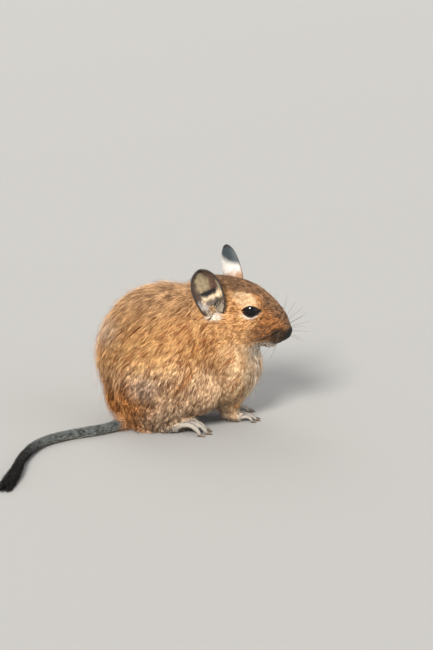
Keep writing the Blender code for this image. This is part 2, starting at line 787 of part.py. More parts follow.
def make_tuft():
    """The end of the tail, with rings of locks that grow longer towards its tip."""
    pick = random.Random(7)
    path = tail_path()
    core = tail_part("tail_tuft")
    first, last = [share * TAIL_STEPS for share in TAIL_PARTS["tail_tuft"]]
    locks = []
    for ring in range(LOCK_RINGS):
        share = (ring + 0.4) / LOCK_RINGS
        place = first + share * (last - first)
        i = int(place)
        point = path[i].lerp(path[i + 1], place - i)
        ahead = (path[i + 1] - path[i]).normalized()
        side = ahead.cross(Vector((0, 0, 1))).normalized()
        over = side.cross(ahead)
        for k in range(LOCKS_AROUND):
            stray = pick.uniform(-LOCK_UNEVENNESS, LOCK_UNEVENNESS)
            angle = math.tau * (k + 0.5 * (ring % 2) + stray) / LOCKS_AROUND
            outwards = side * math.cos(angle) + over * math.sin(angle)
            length = LOCK_LENGTHS[0] + (LOCK_LENGTHS[1] - LOCK_LENGTHS[0]) * share
            length *= 1 + pick.uniform(-LOCK_UNEVENNESS, LOCK_UNEVENNESS)
            locks.append(lock(point, ahead, outwards, tail_radius(place / TAIL_STEPS), length))
    combine(core, "UNION", *locks)
    return slice_off(core, (0, 0, 0), (0, 0, -1))


# The whole animal


def finish(obj, look):
    """Gives the node its colour and smooth shading."""
    colour, roughness = look
    material = bpy.data.materials.new(obj.name)
    material.use_nodes = True
    shader = material.node_tree.nodes["Principled BSDF"]
    shader.inputs["Base Color"].default_value = colour
    shader.inputs["Roughness"].default_value = roughness
    obj.data.materials.clear()
    obj.data.materials.append(material)
    obj.data.shade_smooth()
    obj.data.set_sharp_from_angle(angle=math.radians(50))


def settle(nodes):
    """Moves the nodes so that the origin is the middle of the floor under them."""
    corners = np.array([tuple(vert.co) for obj in nodes for vert in obj.data.vertices])
    low, high = corners.min(axis=0), corners.max(axis=0)
    for obj in nodes:
        obj.location = (-(low[0] + high[0]) / 2, -(low[1] + high[1]) / 2, -low[2])


def main():
    for obj in list(bpy.data.objects):
        bpy.data.objects.remove(obj)
    looks = {}
    sides = {"right": -1, "left": 1}

    head = melt("head", head_masses(), HEAD_SKIN)
    combine(head, "INTERSECT", head_form("inner", HEAD_REGION, more=-GAP / 2))
    carve_face(head)
    looks[head] = FUR

    flesh = melt("torso", all_masses(), TRUNK_SKIN)
    slice_off(flesh, (0, 0, COAT_CLEARANCE), (0, 0, -1))
    for part, plan, skin in (("hindfoot", HIND_FOOT, HIND_FOOT_SKIN), ("forepaw", FORE_FOOT, FORE_FOOT_SKIN)):
        for side_name, side in sides.items():
            foot = make_foot(f"{part}_{side_name}", plan, side, skin)
            combine(flesh, "DIFFERENCE", grown(foot, GAP))
            looks[foot] = FOOT_SKIN

    tail_base = combine(tail_part("tail_base"), "DIFFERENCE", grown(flesh, GAP))
    tail_pieces = [tail_base, tail_part("tail_middle")]
    for piece in tail_pieces:
        looks[slice_off(piece, (0, 0, 0), (0, 0, -1))] = TAIL_FUR
    looks[make_tuft()] = TAIL_FUR

    combine(flesh, "DIFFERENCE", head_form("outer", HEAD_REGION, more=GAP / 2))
    for part, form in LIMB_REGIONS.items():
        for side_name, side in sides.items():
            looks[take(flesh, f"{part}_{side_name}", form, side)] = FUR if part == "hindleg" else PALE_FUR
    looks[split_neck(flesh)] = FUR
    looks[flesh] = FUR

    for side_name, side in sides.items():
        looks[ear_shell(f"ear_{side_name}", side)] = EAR_SKIN
        looks[eye_ball(f"eye_{side_name}", side)] = EYE_GLOSS

    for obj, look in looks.items():
        kind = obj.name.split("_")[0]
        if kind in NODE_TRIANGLES:
            thin_out(obj, NODE_TRIANGLES[kind])
        if kind in ROUND_THE_EARS:
            combine(obj, "DIFFERENCE", *ear_pocket())
        if kind == "head":
            combine(obj, "UNION", *make_whiskers())
        finish(obj, look)
    settle(list(looks))


main()
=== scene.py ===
"""The looks of the degu: one skin with a coat of fine tufts, ears, eyes, claws and whiskers.

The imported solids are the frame. The skin is melted from them, lies inside them by the coat's depth and
takes their place. Sizes are in millimetres until a mesh is made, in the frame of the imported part.
"""

import itertools
import math
from collections import namedtuple

import bmesh
import bpy
import numpy as np
from mathutils import Matrix, Vector
from mathutils.bvhtree import BVHTree
from mathutils.kdtree import KDTree


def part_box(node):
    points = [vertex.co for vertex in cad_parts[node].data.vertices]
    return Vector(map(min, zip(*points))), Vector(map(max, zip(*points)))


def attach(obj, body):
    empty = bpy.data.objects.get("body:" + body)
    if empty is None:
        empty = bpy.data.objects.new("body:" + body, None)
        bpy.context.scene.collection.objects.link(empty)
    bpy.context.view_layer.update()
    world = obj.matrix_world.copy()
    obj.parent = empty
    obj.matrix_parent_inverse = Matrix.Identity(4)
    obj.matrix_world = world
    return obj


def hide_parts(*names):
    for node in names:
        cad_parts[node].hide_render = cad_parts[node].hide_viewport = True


MM = 0.001
SEED = 23

# Sizes that the solids have too
TRUNK_LENGTH = 85.0
TRUNK_WIDTH = 62.0
BACK_HEIGHT = 73.5
HEAD_LENGTH = 57.0
EAR_LENGTH = 24.8
EYE_RADIUS = 5.1
HIND_FOOT_LENGTH = 38.0
FORE_FOOT_LENGTH = 15.5
TAIL_LENGTH = 118.0
TAIL_RADIUS = 2.85

RUMP_X = -0.568 * TRUNK_LENGTH
HEAD_PLACE = (0.384 * TRUNK_LENGTH, -0.16 * TRUNK_WIDTH, 0.832 * BACK_HEIGHT)
HEAD_YAW = math.radians(28)
HEAD_PITCH = math.radians(15)
HEAD_ROLL = math.radians(5)

EYE_PLACE = (-0.008, 0.112, 0.0)
EYE_AIM = (0.20, 0.96, 0.16)
EYE_TILT = math.radians(17)
LID_OPENING = (0.93, 0.54)
LID_RIM = 0.50

EAR_ROOT = {-1: (-0.254, 0.305, -0.080), 1: (-0.258, 0.305, -0.039)}
EAR_TIP = {-1: (-0.496, 0.342, 0.285), 1: (-0.502, 0.342, 0.365)}
EAR_AIM = {-1: (0.42, 0.86, 0.20), 1: (0.52, 0.80, 0.20)}
EAR_HALF_WIDTH = 0.30
EAR_WIDEST = 0.52
EAR_CUP_ANGLES = (math.radians(100), math.radians(50))
EAR_CUP_DEPTH = 0.75
EAR_ROUNDNESS = 2.2
EAR_TIP_CLOSES = 0.995
EAR_FOOT_CLOSES = 0.93

TAIL_ROUTE = (
    (-0.180, -0.010, 0.060),
    (-0.250, -0.050, 0.035),
    (-0.330, -0.110, 0.006),
    (-0.420, -0.155, 0.0),
    (-0.565, -0.205, 0.0),
    (-0.680, -0.290, 0.0),
    (-0.755, -0.450, 0.0),
    (-0.795, -0.625, 0.0),
    (-0.840, -0.770, 0.0),
)

# The camera, by the photograph's viewing angle, and how far it stands from the middle of the trunk
CAMERA_AZIMUTH = math.radians(-10)
CAMERA_ELEVATION = math.radians(14)
CAMERA_LENS = 85.0
CAMERA_SENSOR = 36.0
PHOTO_SIZE = (433, 650)
PHOTO_MM_PER_PIXEL = 0.52
PHOTO_ORIGIN_PIXEL = (190, 419)

# Fineness of the skin, in millimetres, its swelling that bridges the cuts, and how many triangles it keeps
SKIN_VOXEL = 0.45
SKIN_SWELL = 0.3
SKIN_TRIANGLES = 150_000

# Where the muzzle starts, as a share of head length, what is no thicker there than a whisker, and how far
# inside the surface the rays start that measure it
MUZZLE_STARTS = 0.10
WHISKER_THICKNESS = 0.75
RAY_START = 0.01

# Rounds of relaxing the skin, by region
RELAX_ROUNDS = {"trunk": 90, "head": 8, "leg": 30, "foot": 3, "tail": 10}

REGION_OF_NODE = {
    "torso": "trunk",
    "neck": "trunk",
    "head": "head",
    "hindleg": "leg",
    "foreleg": "leg",
    "hindfoot": "foot",
    "forepaw": "foot",
}
REGIONS = ("trunk", "head", "leg", "foot", "tail")


def linear(red, green, blue):
    """A colour as the eye names it, 0 to 255, as the renderer's linear values."""
    share = np.array([red, green, blue]) / 255
    return np.where(share <= 0.04045, share / 12.92, ((share + 0.055) / 1.055) ** 2.4)


# Coat colours in pairs: the dark hairs of an area and its light ones
BACK = (linear(58, 36, 20), linear(222, 178, 134))
FLANK = (linear(150, 80, 34), linear(255, 206, 142))
LOW_FLANK = (linear(136, 86, 50), linear(255, 217, 174))
BELLY = (linear(98, 68, 46), linear(246, 210, 174))
RUMP = (linear(76, 38, 12), linear(232, 158, 88))
MAUVE = (linear(122, 94, 74), linear(242, 214, 188))
CROWN = (linear(38, 26, 18), linear(158, 120, 88))
CHEEK = (linear(138, 82, 38), linear(246, 196, 136))
MUZZLE = (linear(54, 31, 14), linear(204, 140, 84))
CREAM = (linear(196, 150, 104), linear(250, 220, 180))
WHITE = (linear(218, 196, 172), linear(250, 242, 228))
WHISKER_PAD = (linear(12, 9, 5), linear(58, 44, 29))
NOSE = (linear(12, 13, 13), linear(30, 31, 31))
THROAT = (linear(200, 140, 84), linear(255, 224, 180))
CHIN = (linear(132, 112, 92), linear(250, 240, 224))
PAW = (linear(84, 72, 60), linear(246, 238, 224))
TAIL_TOP = (linear(28, 30, 30), linear(126, 130, 128))
TAIL_UNDER = (linear(56, 54, 48), linear(150, 144, 132))
TAIL_END = (linear(8, 8, 8), linear(48, 45, 41))

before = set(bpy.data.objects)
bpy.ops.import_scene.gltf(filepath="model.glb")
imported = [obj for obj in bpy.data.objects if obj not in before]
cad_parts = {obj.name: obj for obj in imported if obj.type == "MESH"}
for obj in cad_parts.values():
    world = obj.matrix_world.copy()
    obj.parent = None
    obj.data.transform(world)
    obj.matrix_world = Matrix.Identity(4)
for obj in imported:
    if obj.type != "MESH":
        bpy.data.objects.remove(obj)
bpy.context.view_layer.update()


# Frames of the body and the head


def middle_of(node):
    low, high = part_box(node)
    return (low + high) / 2 / MM


def head_turn():
    """The head's axes as columns: forward through the nose, left and up."""
    forward = Vector(
        (
            math.cos(HEAD_YAW) * math.cos(HEAD_PITCH),
            -math.sin(HEAD_YAW) * math.cos(HEAD_PITCH),
            -math.sin(HEAD_PITCH),
        )
    )
    left = Vector((math.sin(HEAD_YAW), math.cos(HEAD_YAW), 0.0))
    turn = Matrix((forward, left, forward.cross(left))).transposed()
    return turn @ Matrix.Rotation(HEAD_ROLL, 3, "X")


HEAD_TURN = head_turn()
EYE_MIDDLES = {-1: middle_of("eye_right"), 1: middle_of("eye_left")}
HEAD_ORIGIN = (EYE_MIDDLES[-1] + EYE_MIDDLES[1]) / 2 - HEAD_TURN @ Vector((EYE_PLACE[0] * HEAD_LENGTH, 0, 0))
BODY_ORIGIN = HEAD_ORIGIN - Vector(HEAD_PLACE)
HEAD_AXES = np.array(HEAD_TURN)


def on_head(along, aside, up):
    return HEAD_ORIGIN + HEAD_TURN @ (Vector((along, aside, up)) * HEAD_LENGTH)


def in_head(points):
    """Points in the head's frame, as shares of its length."""
    return (points - np.array(HEAD_ORIGIN)) @ HEAD_AXES / HEAD_LENGTH


def in_trunk(points):
    """Points as shares of the trunk: along it from the rump, aside from its middle and up from the floor."""
    places = points - np.array(BODY_ORIGIN)
    places = places - np.array([RUMP_X, 0.0, 0.0])
    return places / np.array([TRUNK_LENGTH, TRUNK_WIDTH / 2, BACK_HEIGHT])


# Sums on arrays of points


def unit(rows):
    return rows / np.maximum(np.linalg.norm(rows, axis=-1, keepdims=True), 1e-9)


def dot(a, b):
    return (a * b).sum(axis=-1, keepdims=True)


def smoothstep(low, high, values):
    share = np.clip((values - low) / (high - low), 0.0, 1.0)
    return share * share * (3 - 2 * share)


def mix(a, b, share):
    return a + (b - a) * share


LATTICE = np.random.default_rng(SEED).uniform(-1, 1, (32, 32, 32))


def noise(points, size):
    """Smooth random values from -1 to 1 over space, in hills of about this size."""
    place = points / size
    cell = np.floor(place).astype(int)
    part = place - cell
    part = part * part * (3 - 2 * part)
    total = np.zeros(len(points))
    for corner in itertools.product((0, 1), repeat=3):
        spot = (cell + corner) % len(LATTICE)
        weight = np.where(np.array(corner) == 1, part, 1 - part).prod(axis=1)
        total += weight * LATTICE[spot[:, 0], spot[:, 1], spot[:, 2]]
    return total


def inside(places, centre, radii, soft=0.5):
    """1 in the middle of an ellipsoid, falling smoothly to 0 at its surface, and late if soft is small."""
    reach = np.linalg.norm((places - np.array(centre)) / np.array(radii), axis=1)
    return 1 - smoothstep(1 - soft, 1.0, reach)


def smooth_path(points, count):
    """A Catmull-Rom curve through the points, read off at even steps of its length."""
    points = np.array([tuple(point) for point in points], float)
    ends = np.vstack([2 * points[0] - points[1], points, 2 * points[-1] - points[-2]])
    fine = []
    for i in range(len(points) - 1):
        a, b, c, d = ends[i : i + 4]
        for t in np.linspace(0.0, 1.0, 20, endpoint=False):
            bend = (2 * a - 5 * b + 4 * c - d) * t**2
            twist = (3 * b - a - 3 * c + d) * t**3
            fine.append((2 * b + (c - a) * t + bend + twist) / 2)
    fine = np.array([*fine, points[-1]])
    travelled = np.concatenate([[0.0], np.cumsum(np.linalg.norm(np.diff(fine, axis=0), axis=1))])
    wanted = np.linspace(0.0, travelled[-1], count)
    return np.stack([np.interp(wanted, travelled, fine[:, axis]) for axis in range(3)], axis=1)


# Meshes


def make_mesh(name, points, faces):
    """A mesh object from points in millimetres and rows of corners, none below the floor."""
    points = np.array(points, float)
    points[:, 2] = np.maximum(points[:, 2], 0.0)
    mesh = bpy.data.meshes.new(name)
    mesh.vertices.add(len(points))
    mesh.vertices.foreach_set("co", (points * MM).astype(np.float32).ravel())
    mesh.loops.add(faces.size)
    mesh.loops.foreach_set("vertex_index", faces.astype(np.int32).ravel())
    mesh.polygons.add(len(faces))
    mesh.polygons.foreach_set("loop_start", np.arange(0, faces.size, faces.shape[1], dtype=np.int32))
    mesh.update(calc_edges=True)
    obj = bpy.data.objects.new(name, mesh)
    bpy.context.scene.collection.objects.link(obj)
    return obj


def points_of(mesh):
    points = np.empty(len(mesh.vertices) * 3, np.float32)
    mesh.vertices.foreach_get("co", points)
    return points.reshape(-1, 3).astype(float) / MM


def triangles_of(mesh):
    mesh.calc_loop_triangles()
    corners = np.empty(len(mesh.loop_triangles) * 3, np.int32)
    mesh.loop_triangles.foreach_get("vertices", corners)
    return corners.reshape(-1, 3)


def normals_of(mesh):
    normals = np.empty(len(mesh.vertices) * 3, np.float32)
    mesh.vertices.foreach_get("normal", normals)
    return normals.reshape(-1, 3).astype(float)


def move_points(mesh, points):
    points[:, 2] = np.maximum(points[:, 2], 0.0)
    mesh.vertices.foreach_set("co", (points * MM).astype(np.float32).ravel())
    mesh.update()


def paint(obj, colours):
    """Keeps a colour for each point of the mesh, for its material."""
    layer = obj.data.color_attributes.new("markings", "FLOAT_COLOR", "POINT")
    rows = np.ones((len(colours), 4), np.float32)
    rows[:, :3] = np.clip(colours, 0.0, 1.0)
    layer.data.foreach_set("color", rows.ravel())


def lay_out(obj, places):
    """Gives the mesh its bake map, from a place for each point."""
    corners = np.empty(len(obj.data.loops), np.int32)
    obj.data.loops.foreach_get("vertex_index", corners)
    layer = obj.data.uv_layers.new(name="OFBake")
    layer.uv.foreach_set("vector", np.clip(places, 0.0, 1.0).astype(np.float32)[corners].ravel())


def dress(obj, material):
    obj.data.materials.clear()
    obj.data.materials.append(material)
    obj.data.shade_smooth()
    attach(obj, "root")
    return obj


def bake(obj):
    """Turns the object's modifiers into its mesh."""
    graph = bpy.context.evaluated_depsgraph_get()
    mesh = bpy.data.meshes.new_from_object(obj.evaluated_get(graph))
    obj.modifiers.clear()
    obj.data = mesh


def tube(path, radii, sides):
    """Points and triangles of a closed tube along a path."""
    path = np.asarray(path, float)
    ahead = unit(np.gradient(path, axis=0))
    side = np.array(Vector(ahead[0]).orthogonal().normalized())
    rings = []
    for point, forward, radius in zip(path, ahead, radii):
        side = unit(side - forward * (side @ forward))
        over = np.cross(forward, side)
        angles = np.linspace(0.0, math.tau, sides, endpoint=False)[:, None]
        rings.append(point + radius * (side * np.cos(angles) + over * np.sin(angles)))
    points = np.concatenate([*rings, path[:1], path[-1:]])
    triangles = []
    for row in range(len(path) - 1):
        for i in range(sides):
            a, b = row * sides + i, row * sides + (i + 1) % sides
            triangles += [(a, b, b + sides), (a, b + sides, a + sides)]
    for i in range(sides):
        j = (i + 1) % sides
        last = (len(path) - 1) * sides
        triangles += [(j, i, len(points) - 2), (last + i, last + j, len(points) - 1)]
    return points, np.array(triangles)


def gather(pieces):
    """One set of points and triangles from several."""
    points, triangles, first = [], [], 0
    for some, corners in pieces:
        points.append(some)
        triangles.append(corners + first)
        first += len(some)
    return np.concatenate(points), np.concatenate(triangles)


# The tail


def tail_radius(t):
    """The tail thins slowly from its root, and closes at the end of its flesh."""
    return TAIL_RADIUS * (1.06 - 0.30 * t) * (1.0 - 0.7 * np.maximum(0.0, (t - 0.88) / 0.12) ** 2)


TAIL_STEPS = 120
TAIL_ENDS = 0.94
TAIL_SINK = 0.90


def tail_path():
    """The tail's middle line, lying on the floor behind the rump."""
    path = smooth_path(np.array(TAIL_ROUTE) * TAIL_LENGTH, TAIL_STEPS + 1)
    shares = np.linspace(0.0, 1.0, TAIL_STEPS + 1)
    path[:, 2] += TAIL_SINK * tail_radius(shares)
    return path + np.array(BODY_ORIGIN) * np.array([1, 1, 0]), shares


# The skin


def arrays_of(form):
    """A working mesh's points, point normals and triangles. The mesh itself is freed."""
    form.normal_update()
    form.verts.index_update()
    points = np.array([vert.co for vert in form.verts])
    normals = np.array([vert.normal for vert in form.verts])
    triangles = np.array([[vert.index for vert in face.verts] for face in form.faces])
    form.free()
    return points, normals, triangles


def welded(node):
    """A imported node's points, with doubles joined, its point normals and its triangles."""
    form = bmesh.new()
    form.from_mesh(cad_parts[node].data)
    bmesh.ops.remove_doubles(form, verts=form.verts, dist=1e-6)
    bmesh.ops.triangulate(form, faces=form.faces)
    points, normals, triangles = arrays_of(form)
    return points / MM, normals, triangles


def joined_to(first):
    """All points that are joined to this one by edges."""
    found = set()
    fringe = [first]
    while fringe:
        vert = fringe.pop()
        found.add(vert)
        fringe += [other for edge in vert.link_edges if (other := edge.other_vert(vert)) not in found]
    return found


def shorn(points, normals, triangles):
    """The head without its solid whiskers: what is as thin as they are goes, and the holes are closed."""
    tree = BVHTree.FromPolygons(points.tolist(), triangles.tolist())
    along = in_head(points)[:, 0]
    form = bmesh.new()
    for point in points:
        form.verts.new(point)
    form.verts.ensure_lookup_table()
    hindmost = form.verts[int(np.argmin(along))]
    for triangle in triangles.tolist():
        form.faces.new([form.verts[i] for i in triangle])
    thin = []
    for i in np.flatnonzero(along > MUZZLE_STARTS).tolist():
        inwards = Vector(-normals[i])
        hit = tree.ray_cast(Vector(points[i]) + inwards * RAY_START, inwards)
        if hit[0] is not None and hit[3] < WHISKER_THICKNESS:
            thin.append(form.verts[i])
    bmesh.ops.delete(form, geom=thin, context="VERTS")
    head = joined_to(hindmost)
    bmesh.ops.delete(form, geom=[vert for vert in form.verts if vert not in head], context="VERTS")
    bmesh.ops.holes_fill(form, edges=[edge for edge in form.edges if edge.is_boundary], sides=0)
    bmesh.ops.triangulate(form, faces=form.faces)
    return arrays_of(form)


def ball(centre, radius, level=4):
    form = bmesh.new()
    bmesh.ops.create_icosphere(form, subdivisions=level, radius=radius)
    points, _, triangles = arrays_of(form)
    return points + np.array(centre), triangles


def flesh():
    """All the flesh as overlapping closed pieces, and the region of each triangle."""
    pieces, regions = [], []
    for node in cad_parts:
        kind = node.split("_")[0]
        if kind in REGION_OF_NODE:
            points, normals, triangles = welded(node)
            if kind == "head":
                points, normals, triangles = shorn(points, normals, triangles)
            pieces.append((points + normals * SKIN_SWELL, triangles))
            regions.append(np.full(len(triangles), REGIONS.index(REGION_OF_NODE[kind])))
    for side in (-1, 1):
        plug = ball(EYE_MIDDLES[side], EYE_RADIUS + 1.0)
        pieces.append(plug)
        regions.append(np.full(len(plug[1]), REGIONS.index("head")))
    path, shares = tail_path()
    kept = shares <= TAIL_ENDS
    tail = tube(path[kept], tail_radius(shares[kept]) + SKIN_SWELL, 20)
    pieces.append(tail)
    regions.append(np.full(len(tail[1]), REGIONS.index("tail")))
    points, triangles = gather(pieces)
    return points, triangles, np.concatenate(regions)


def relax(points, edges, pull, rounds):
    """Draws each point towards the middle of its neighbours, as far as its own pull says."""
    first, second = edges[:, 0], edges[:, 1]
    count = np.bincount(edges.ravel(), minlength=len(points))
    for _ in range(rounds):
        for axis in range(points.shape[1]):
            values = points[:, axis]
            total = np.bincount(first, values[second], len(points))
            total += np.bincount(second, values[first], len(points))
            points[:, axis] = values + pull * (total / np.maximum(count, 1) - values)
    return points


def edges_of(mesh):
    ends = np.empty(len(mesh.edges) * 2, np.int32)
    mesh.edges.foreach_get("vertices", ends)
    return ends.reshape(-1, 2)


def region_weights(mesh, tree, regions, blur):
    """How much each point of the mesh belongs to each region, running softly from one to the next."""
    found = [tree.find_nearest(Vector(point))[2] for point in points_of(mesh)]
    weights = np.eye(len(REGIONS))[regions[found]]
    return relax(weights, edges_of(mesh), 1.0, blur)


def melt_skin():
    """The flesh as one closed skin, relaxed by region and thinned out, with its region weights."""
    points, triangles, regions = flesh()
    tree = BVHTree.FromPolygons(points.tolist(), triangles.tolist())
    skin = make_mesh("skin", points, triangles)
    remesh = skin.modifiers.new("melt", "REMESH")
    remesh.mode = "VOXEL"
    remesh.voxel_size = SKIN_VOXEL * MM
    bake(skin)
    weights = region_weights(skin.data, tree, regions, 6)
    rounds = weights @ np.array([RELAX_ROUNDS[region] for region in REGIONS])
    most = max(RELAX_ROUNDS.values())
    points = relax(points_of(skin.data), edges_of(skin.data), 0.5 * rounds / most, most)
    move_points(skin.data, points)
    thin = skin.modifiers.new("thin", "DECIMATE")
    thin.ratio = min(1.0, SKIN_TRIANGLES / (2 * len(skin.data.polygons)))
    thin.use_collapse_triangulate = True
    bake(skin)
    return skin, region_weights(skin.data, tree, regions, 8)


# The coat's make-up over the skin

# Along the head, as shares of its length: the top and the underside, then the coat's depth and hair length
HEAD_ALONG = (-0.60, -0.45, -0.30, -0.10, 0.07, 0.16, 0.23, 0.29, 0.36)
HEAD_TOP = (0.090, 0.155, 0.190, 0.205, 0.161, 0.118, 0.074, 0.021, -0.095)
HEAD_UNDER = (-0.43, -0.45, -0.44, -0.40, -0.35, -0.316, -0.284, -0.249, -0.161)
HEAD_DEPTH = (2.0, 1.8, 1.3, 1.0, 0.85, 0.70, 0.50, 0.35, 0.12)
HEAD_HAIR = (7.5, 6.5, 5.2, 4.2, 3.6, 3.0, 2.4, 1.9, 1.2)

# Depth and hair length elsewhere, in millimetres
COAT_DEPTH = {"trunk": 2.2, "leg": 1.5, "foot": 0.15, "tail": 0.8}
HAIR_LENGTH = {"trunk": 8.0, "leg": 6.0, "foot": 1.7, "tail": 3.4}
HAIR_WIDTH = {"trunk": 0.42, "head": 0.34, "leg": 0.38, "foot": 0.26, "tail": 0.30}
HEAD_HAIR_THINS = ((-0.3, 0.36), (1.0, 0.7))
HAIR_CROWD = {"trunk": 3.6, "head": 6.0, "leg": 3.6, "foot": 5.0, "tail": 5.0}

# Where the coat is longer: under this share of the trunk's height and behind this share of its length
LOW_COAT = (0.45, 0.15)
LOW_COAT_LONGER = 0.15
RUMP_COAT = (0.35, 0.05)
RUMP_COAT_LONGER = 0.25
TAIL_COAT = (0.45, 0.8)
TAIL_COAT_LONGER = 0.6

# How far from the eyeball the coat stays short, in millimetres, and its least depth and length there
SHORT_ABOUT_EYE = (0.6, 4.5)
LEAST_AT_EYE = (0.25, 0.45)
BARE_LID_EDGE = 0.12

# Layers of colour over the low flank and over the cheek: colours, and from where to where each grows in, by
# share of length and by share of height
TRUNK_LAYERS = (
    (FLANK, None, (0.42, 0.62)),
    (BACK, None, (0.72, 0.97)),
    (BELLY, None, (0.36, 0.16)),
    (RUMP, (0.38, 0.10), (0.55, 0.30)),
    (THROAT, (0.80, 0.95), (0.70, 0.55)),
)
HEAD_LAYERS = (
    (CROWN, None, (0.72, 0.96)),
    (THROAT, None, (0.26, 0.10)),
    (CHIN, (0.02, 0.12), (0.20, 0.06)),
)
MUZZLE_DARKENS = (0.02, 0.16)
TAIL_DARKENS = (0.50, 0.68)

# How far the layers' edges waver, as a share, and over what distance in millimetres
WAVER = 0.04
WAVER_SIZE = 9.0

# Markings of the head, the same on both sides: centre, half sizes, colours, strength and softness
HEAD_MARKS = (
    ((-0.270, 0.240, 0.070), (0.100, 0.100, 0.070), CHEEK, 0.70, 0.8),
    ((0.300, 0.080, -0.160), (0.115, 0.130, 0.115), WHISKER_PAD, 0.94, 0.5),
    ((-0.225, 0.320, -0.065), (0.130, 0.090, 0.050), WHITE, 1.00, 0.4),
    ((-0.262, 0.290, -0.015), (0.075, 0.090, 0.055), CREAM, 0.95, 0.5),
    ((-0.415, 0.330, -0.030), (0.045, 0.080, 0.120), WHITE, 0.85, 0.6),
    ((0.070, 0.170, -0.250), (0.120, 0.090, 0.050), MUZZLE, 0.60, 0.8),
    ((-0.081, 0.386, -0.307), (0.110, 0.120, 0.060), THROAT, 0.80, 0.8),
)
NOSE_PAD = ((0.358, 0.0, -0.134), (0.055, 0.072, 0.068))

# Markings about the eye, in radii of the eye ahead of its middle and above it
EYE_MARKS = (
    ((-0.25, 1.20), (1.15, 1.00), CREAM, 1.00, 0.35),
    ((-1.40, -0.05), (0.45, 0.38), MUZZLE, 0.85, 0.7),
    ((1.30, 0.25), (0.45, 0.38), MUZZLE, 0.60, 0.7),
)
EYE_CRESCENT = (0.25, 0.62)
BROW_STRIPE = ((-0.20, 2.20), (1.20, 0.80))

# Markings of the trunk, in its own shares
TRUNK_MARKS = (
    ((0.085, 0.20, 0.76), (0.15, 0.60, 0.17), MAUVE, 0.75, 0.8),
    ((0.250, 0.97, 0.39), (0.15, 0.35, 0.13), MAUVE, 0.70, 0.8),
    ((0.176, 0.86, 0.237), (0.140, 0.45, 0.110), RUMP, 0.75, 0.8),
    ((0.590, 0.75, 0.66), (0.040, 0.30, 0.10), RUMP, 0.75, 0.8),
    ((0.930, 0.40, 0.42), (0.120, 0.45, 0.28), CHIN, 0.65, 0.8),
)
# A line of painted shade along the fold in the flank, laid in the rump's colour
FLANK_FOLD_SHADE = ((0.600, 0.80, 0.540), (0.440, 0.98, 0.360))

# How steeply the coat lies, in degrees, by height on the head and on the trunk, and how its lie sways
HEAD_SLOPES = ((-0.30, -0.10, 0.10, 0.18), (55, 32, 12, 4))
TRUNK_SLOPES = ((0.10, 0.30, 0.60, 0.95), (72, 60, 50, 34))
SWAY = 0.16
SWAY_SIZE = 7.0


def near_line(places, ends, radius):
    """1 on a straight line between two places, falling to 0 at a radius from it."""
    first, last = np.array(ends[0]), np.array(ends[1])
    along = last - first
    share = np.clip((places - first) @ along / (along @ along), 0.0, 1.0)
    reach = np.linalg.norm(places - first - share[:, None] * along, axis=1)
    return 1 - smoothstep(0.3 * radius, radius, reach)


def ramp(ends, values):
    """How far the values have come from one end to the other, or 1 for all where no ends are given."""
    return smoothstep(*ends, values) if ends else np.ones(len(values))


def mirrored(places):
    """The same places with both sides laid on the left one."""
    return places * np.where(np.array([0, 1, 0]) * (places < 0), -1, 1)


def eye_frame(side):
    """The almond's own axes: towards its front corner, up across it and out of the head."""
    outwards = Vector((EYE_AIM[0], side * EYE_AIM[1], EYE_AIM[2])).normalized()
    ahead = Vector((math.cos(EYE_TILT), 0.0, math.sin(EYE_TILT)))
    ahead = (ahead - outwards * ahead.dot(outwards)).normalized()
    over = ahead.cross(outwards) * side
    return np.array([HEAD_TURN @ axis for axis in (ahead, over, outwards)])


def almond(reach):
    """How high the almond between the lids is, from corner (-1) to corner (1)."""
    return np.maximum(0.0, 1 - np.abs(reach) ** 1.7) ** 0.85


def lid_height(points, side):
    """How far a point is past the lids' edge, below 0 between them, and its place in the eye's own frame."""
    places = (points - np.array(EYE_MIDDLES[side])) @ eye_frame(side).T / EYE_RADIUS
    reach = places[:, 0] / LID_OPENING[0]
    past = np.abs(places[:, 1]) / LID_OPENING[1] - almond(np.clip(reach, -1, 1))
    past = np.maximum(past, np.abs(reach) - 1)
    return past, places


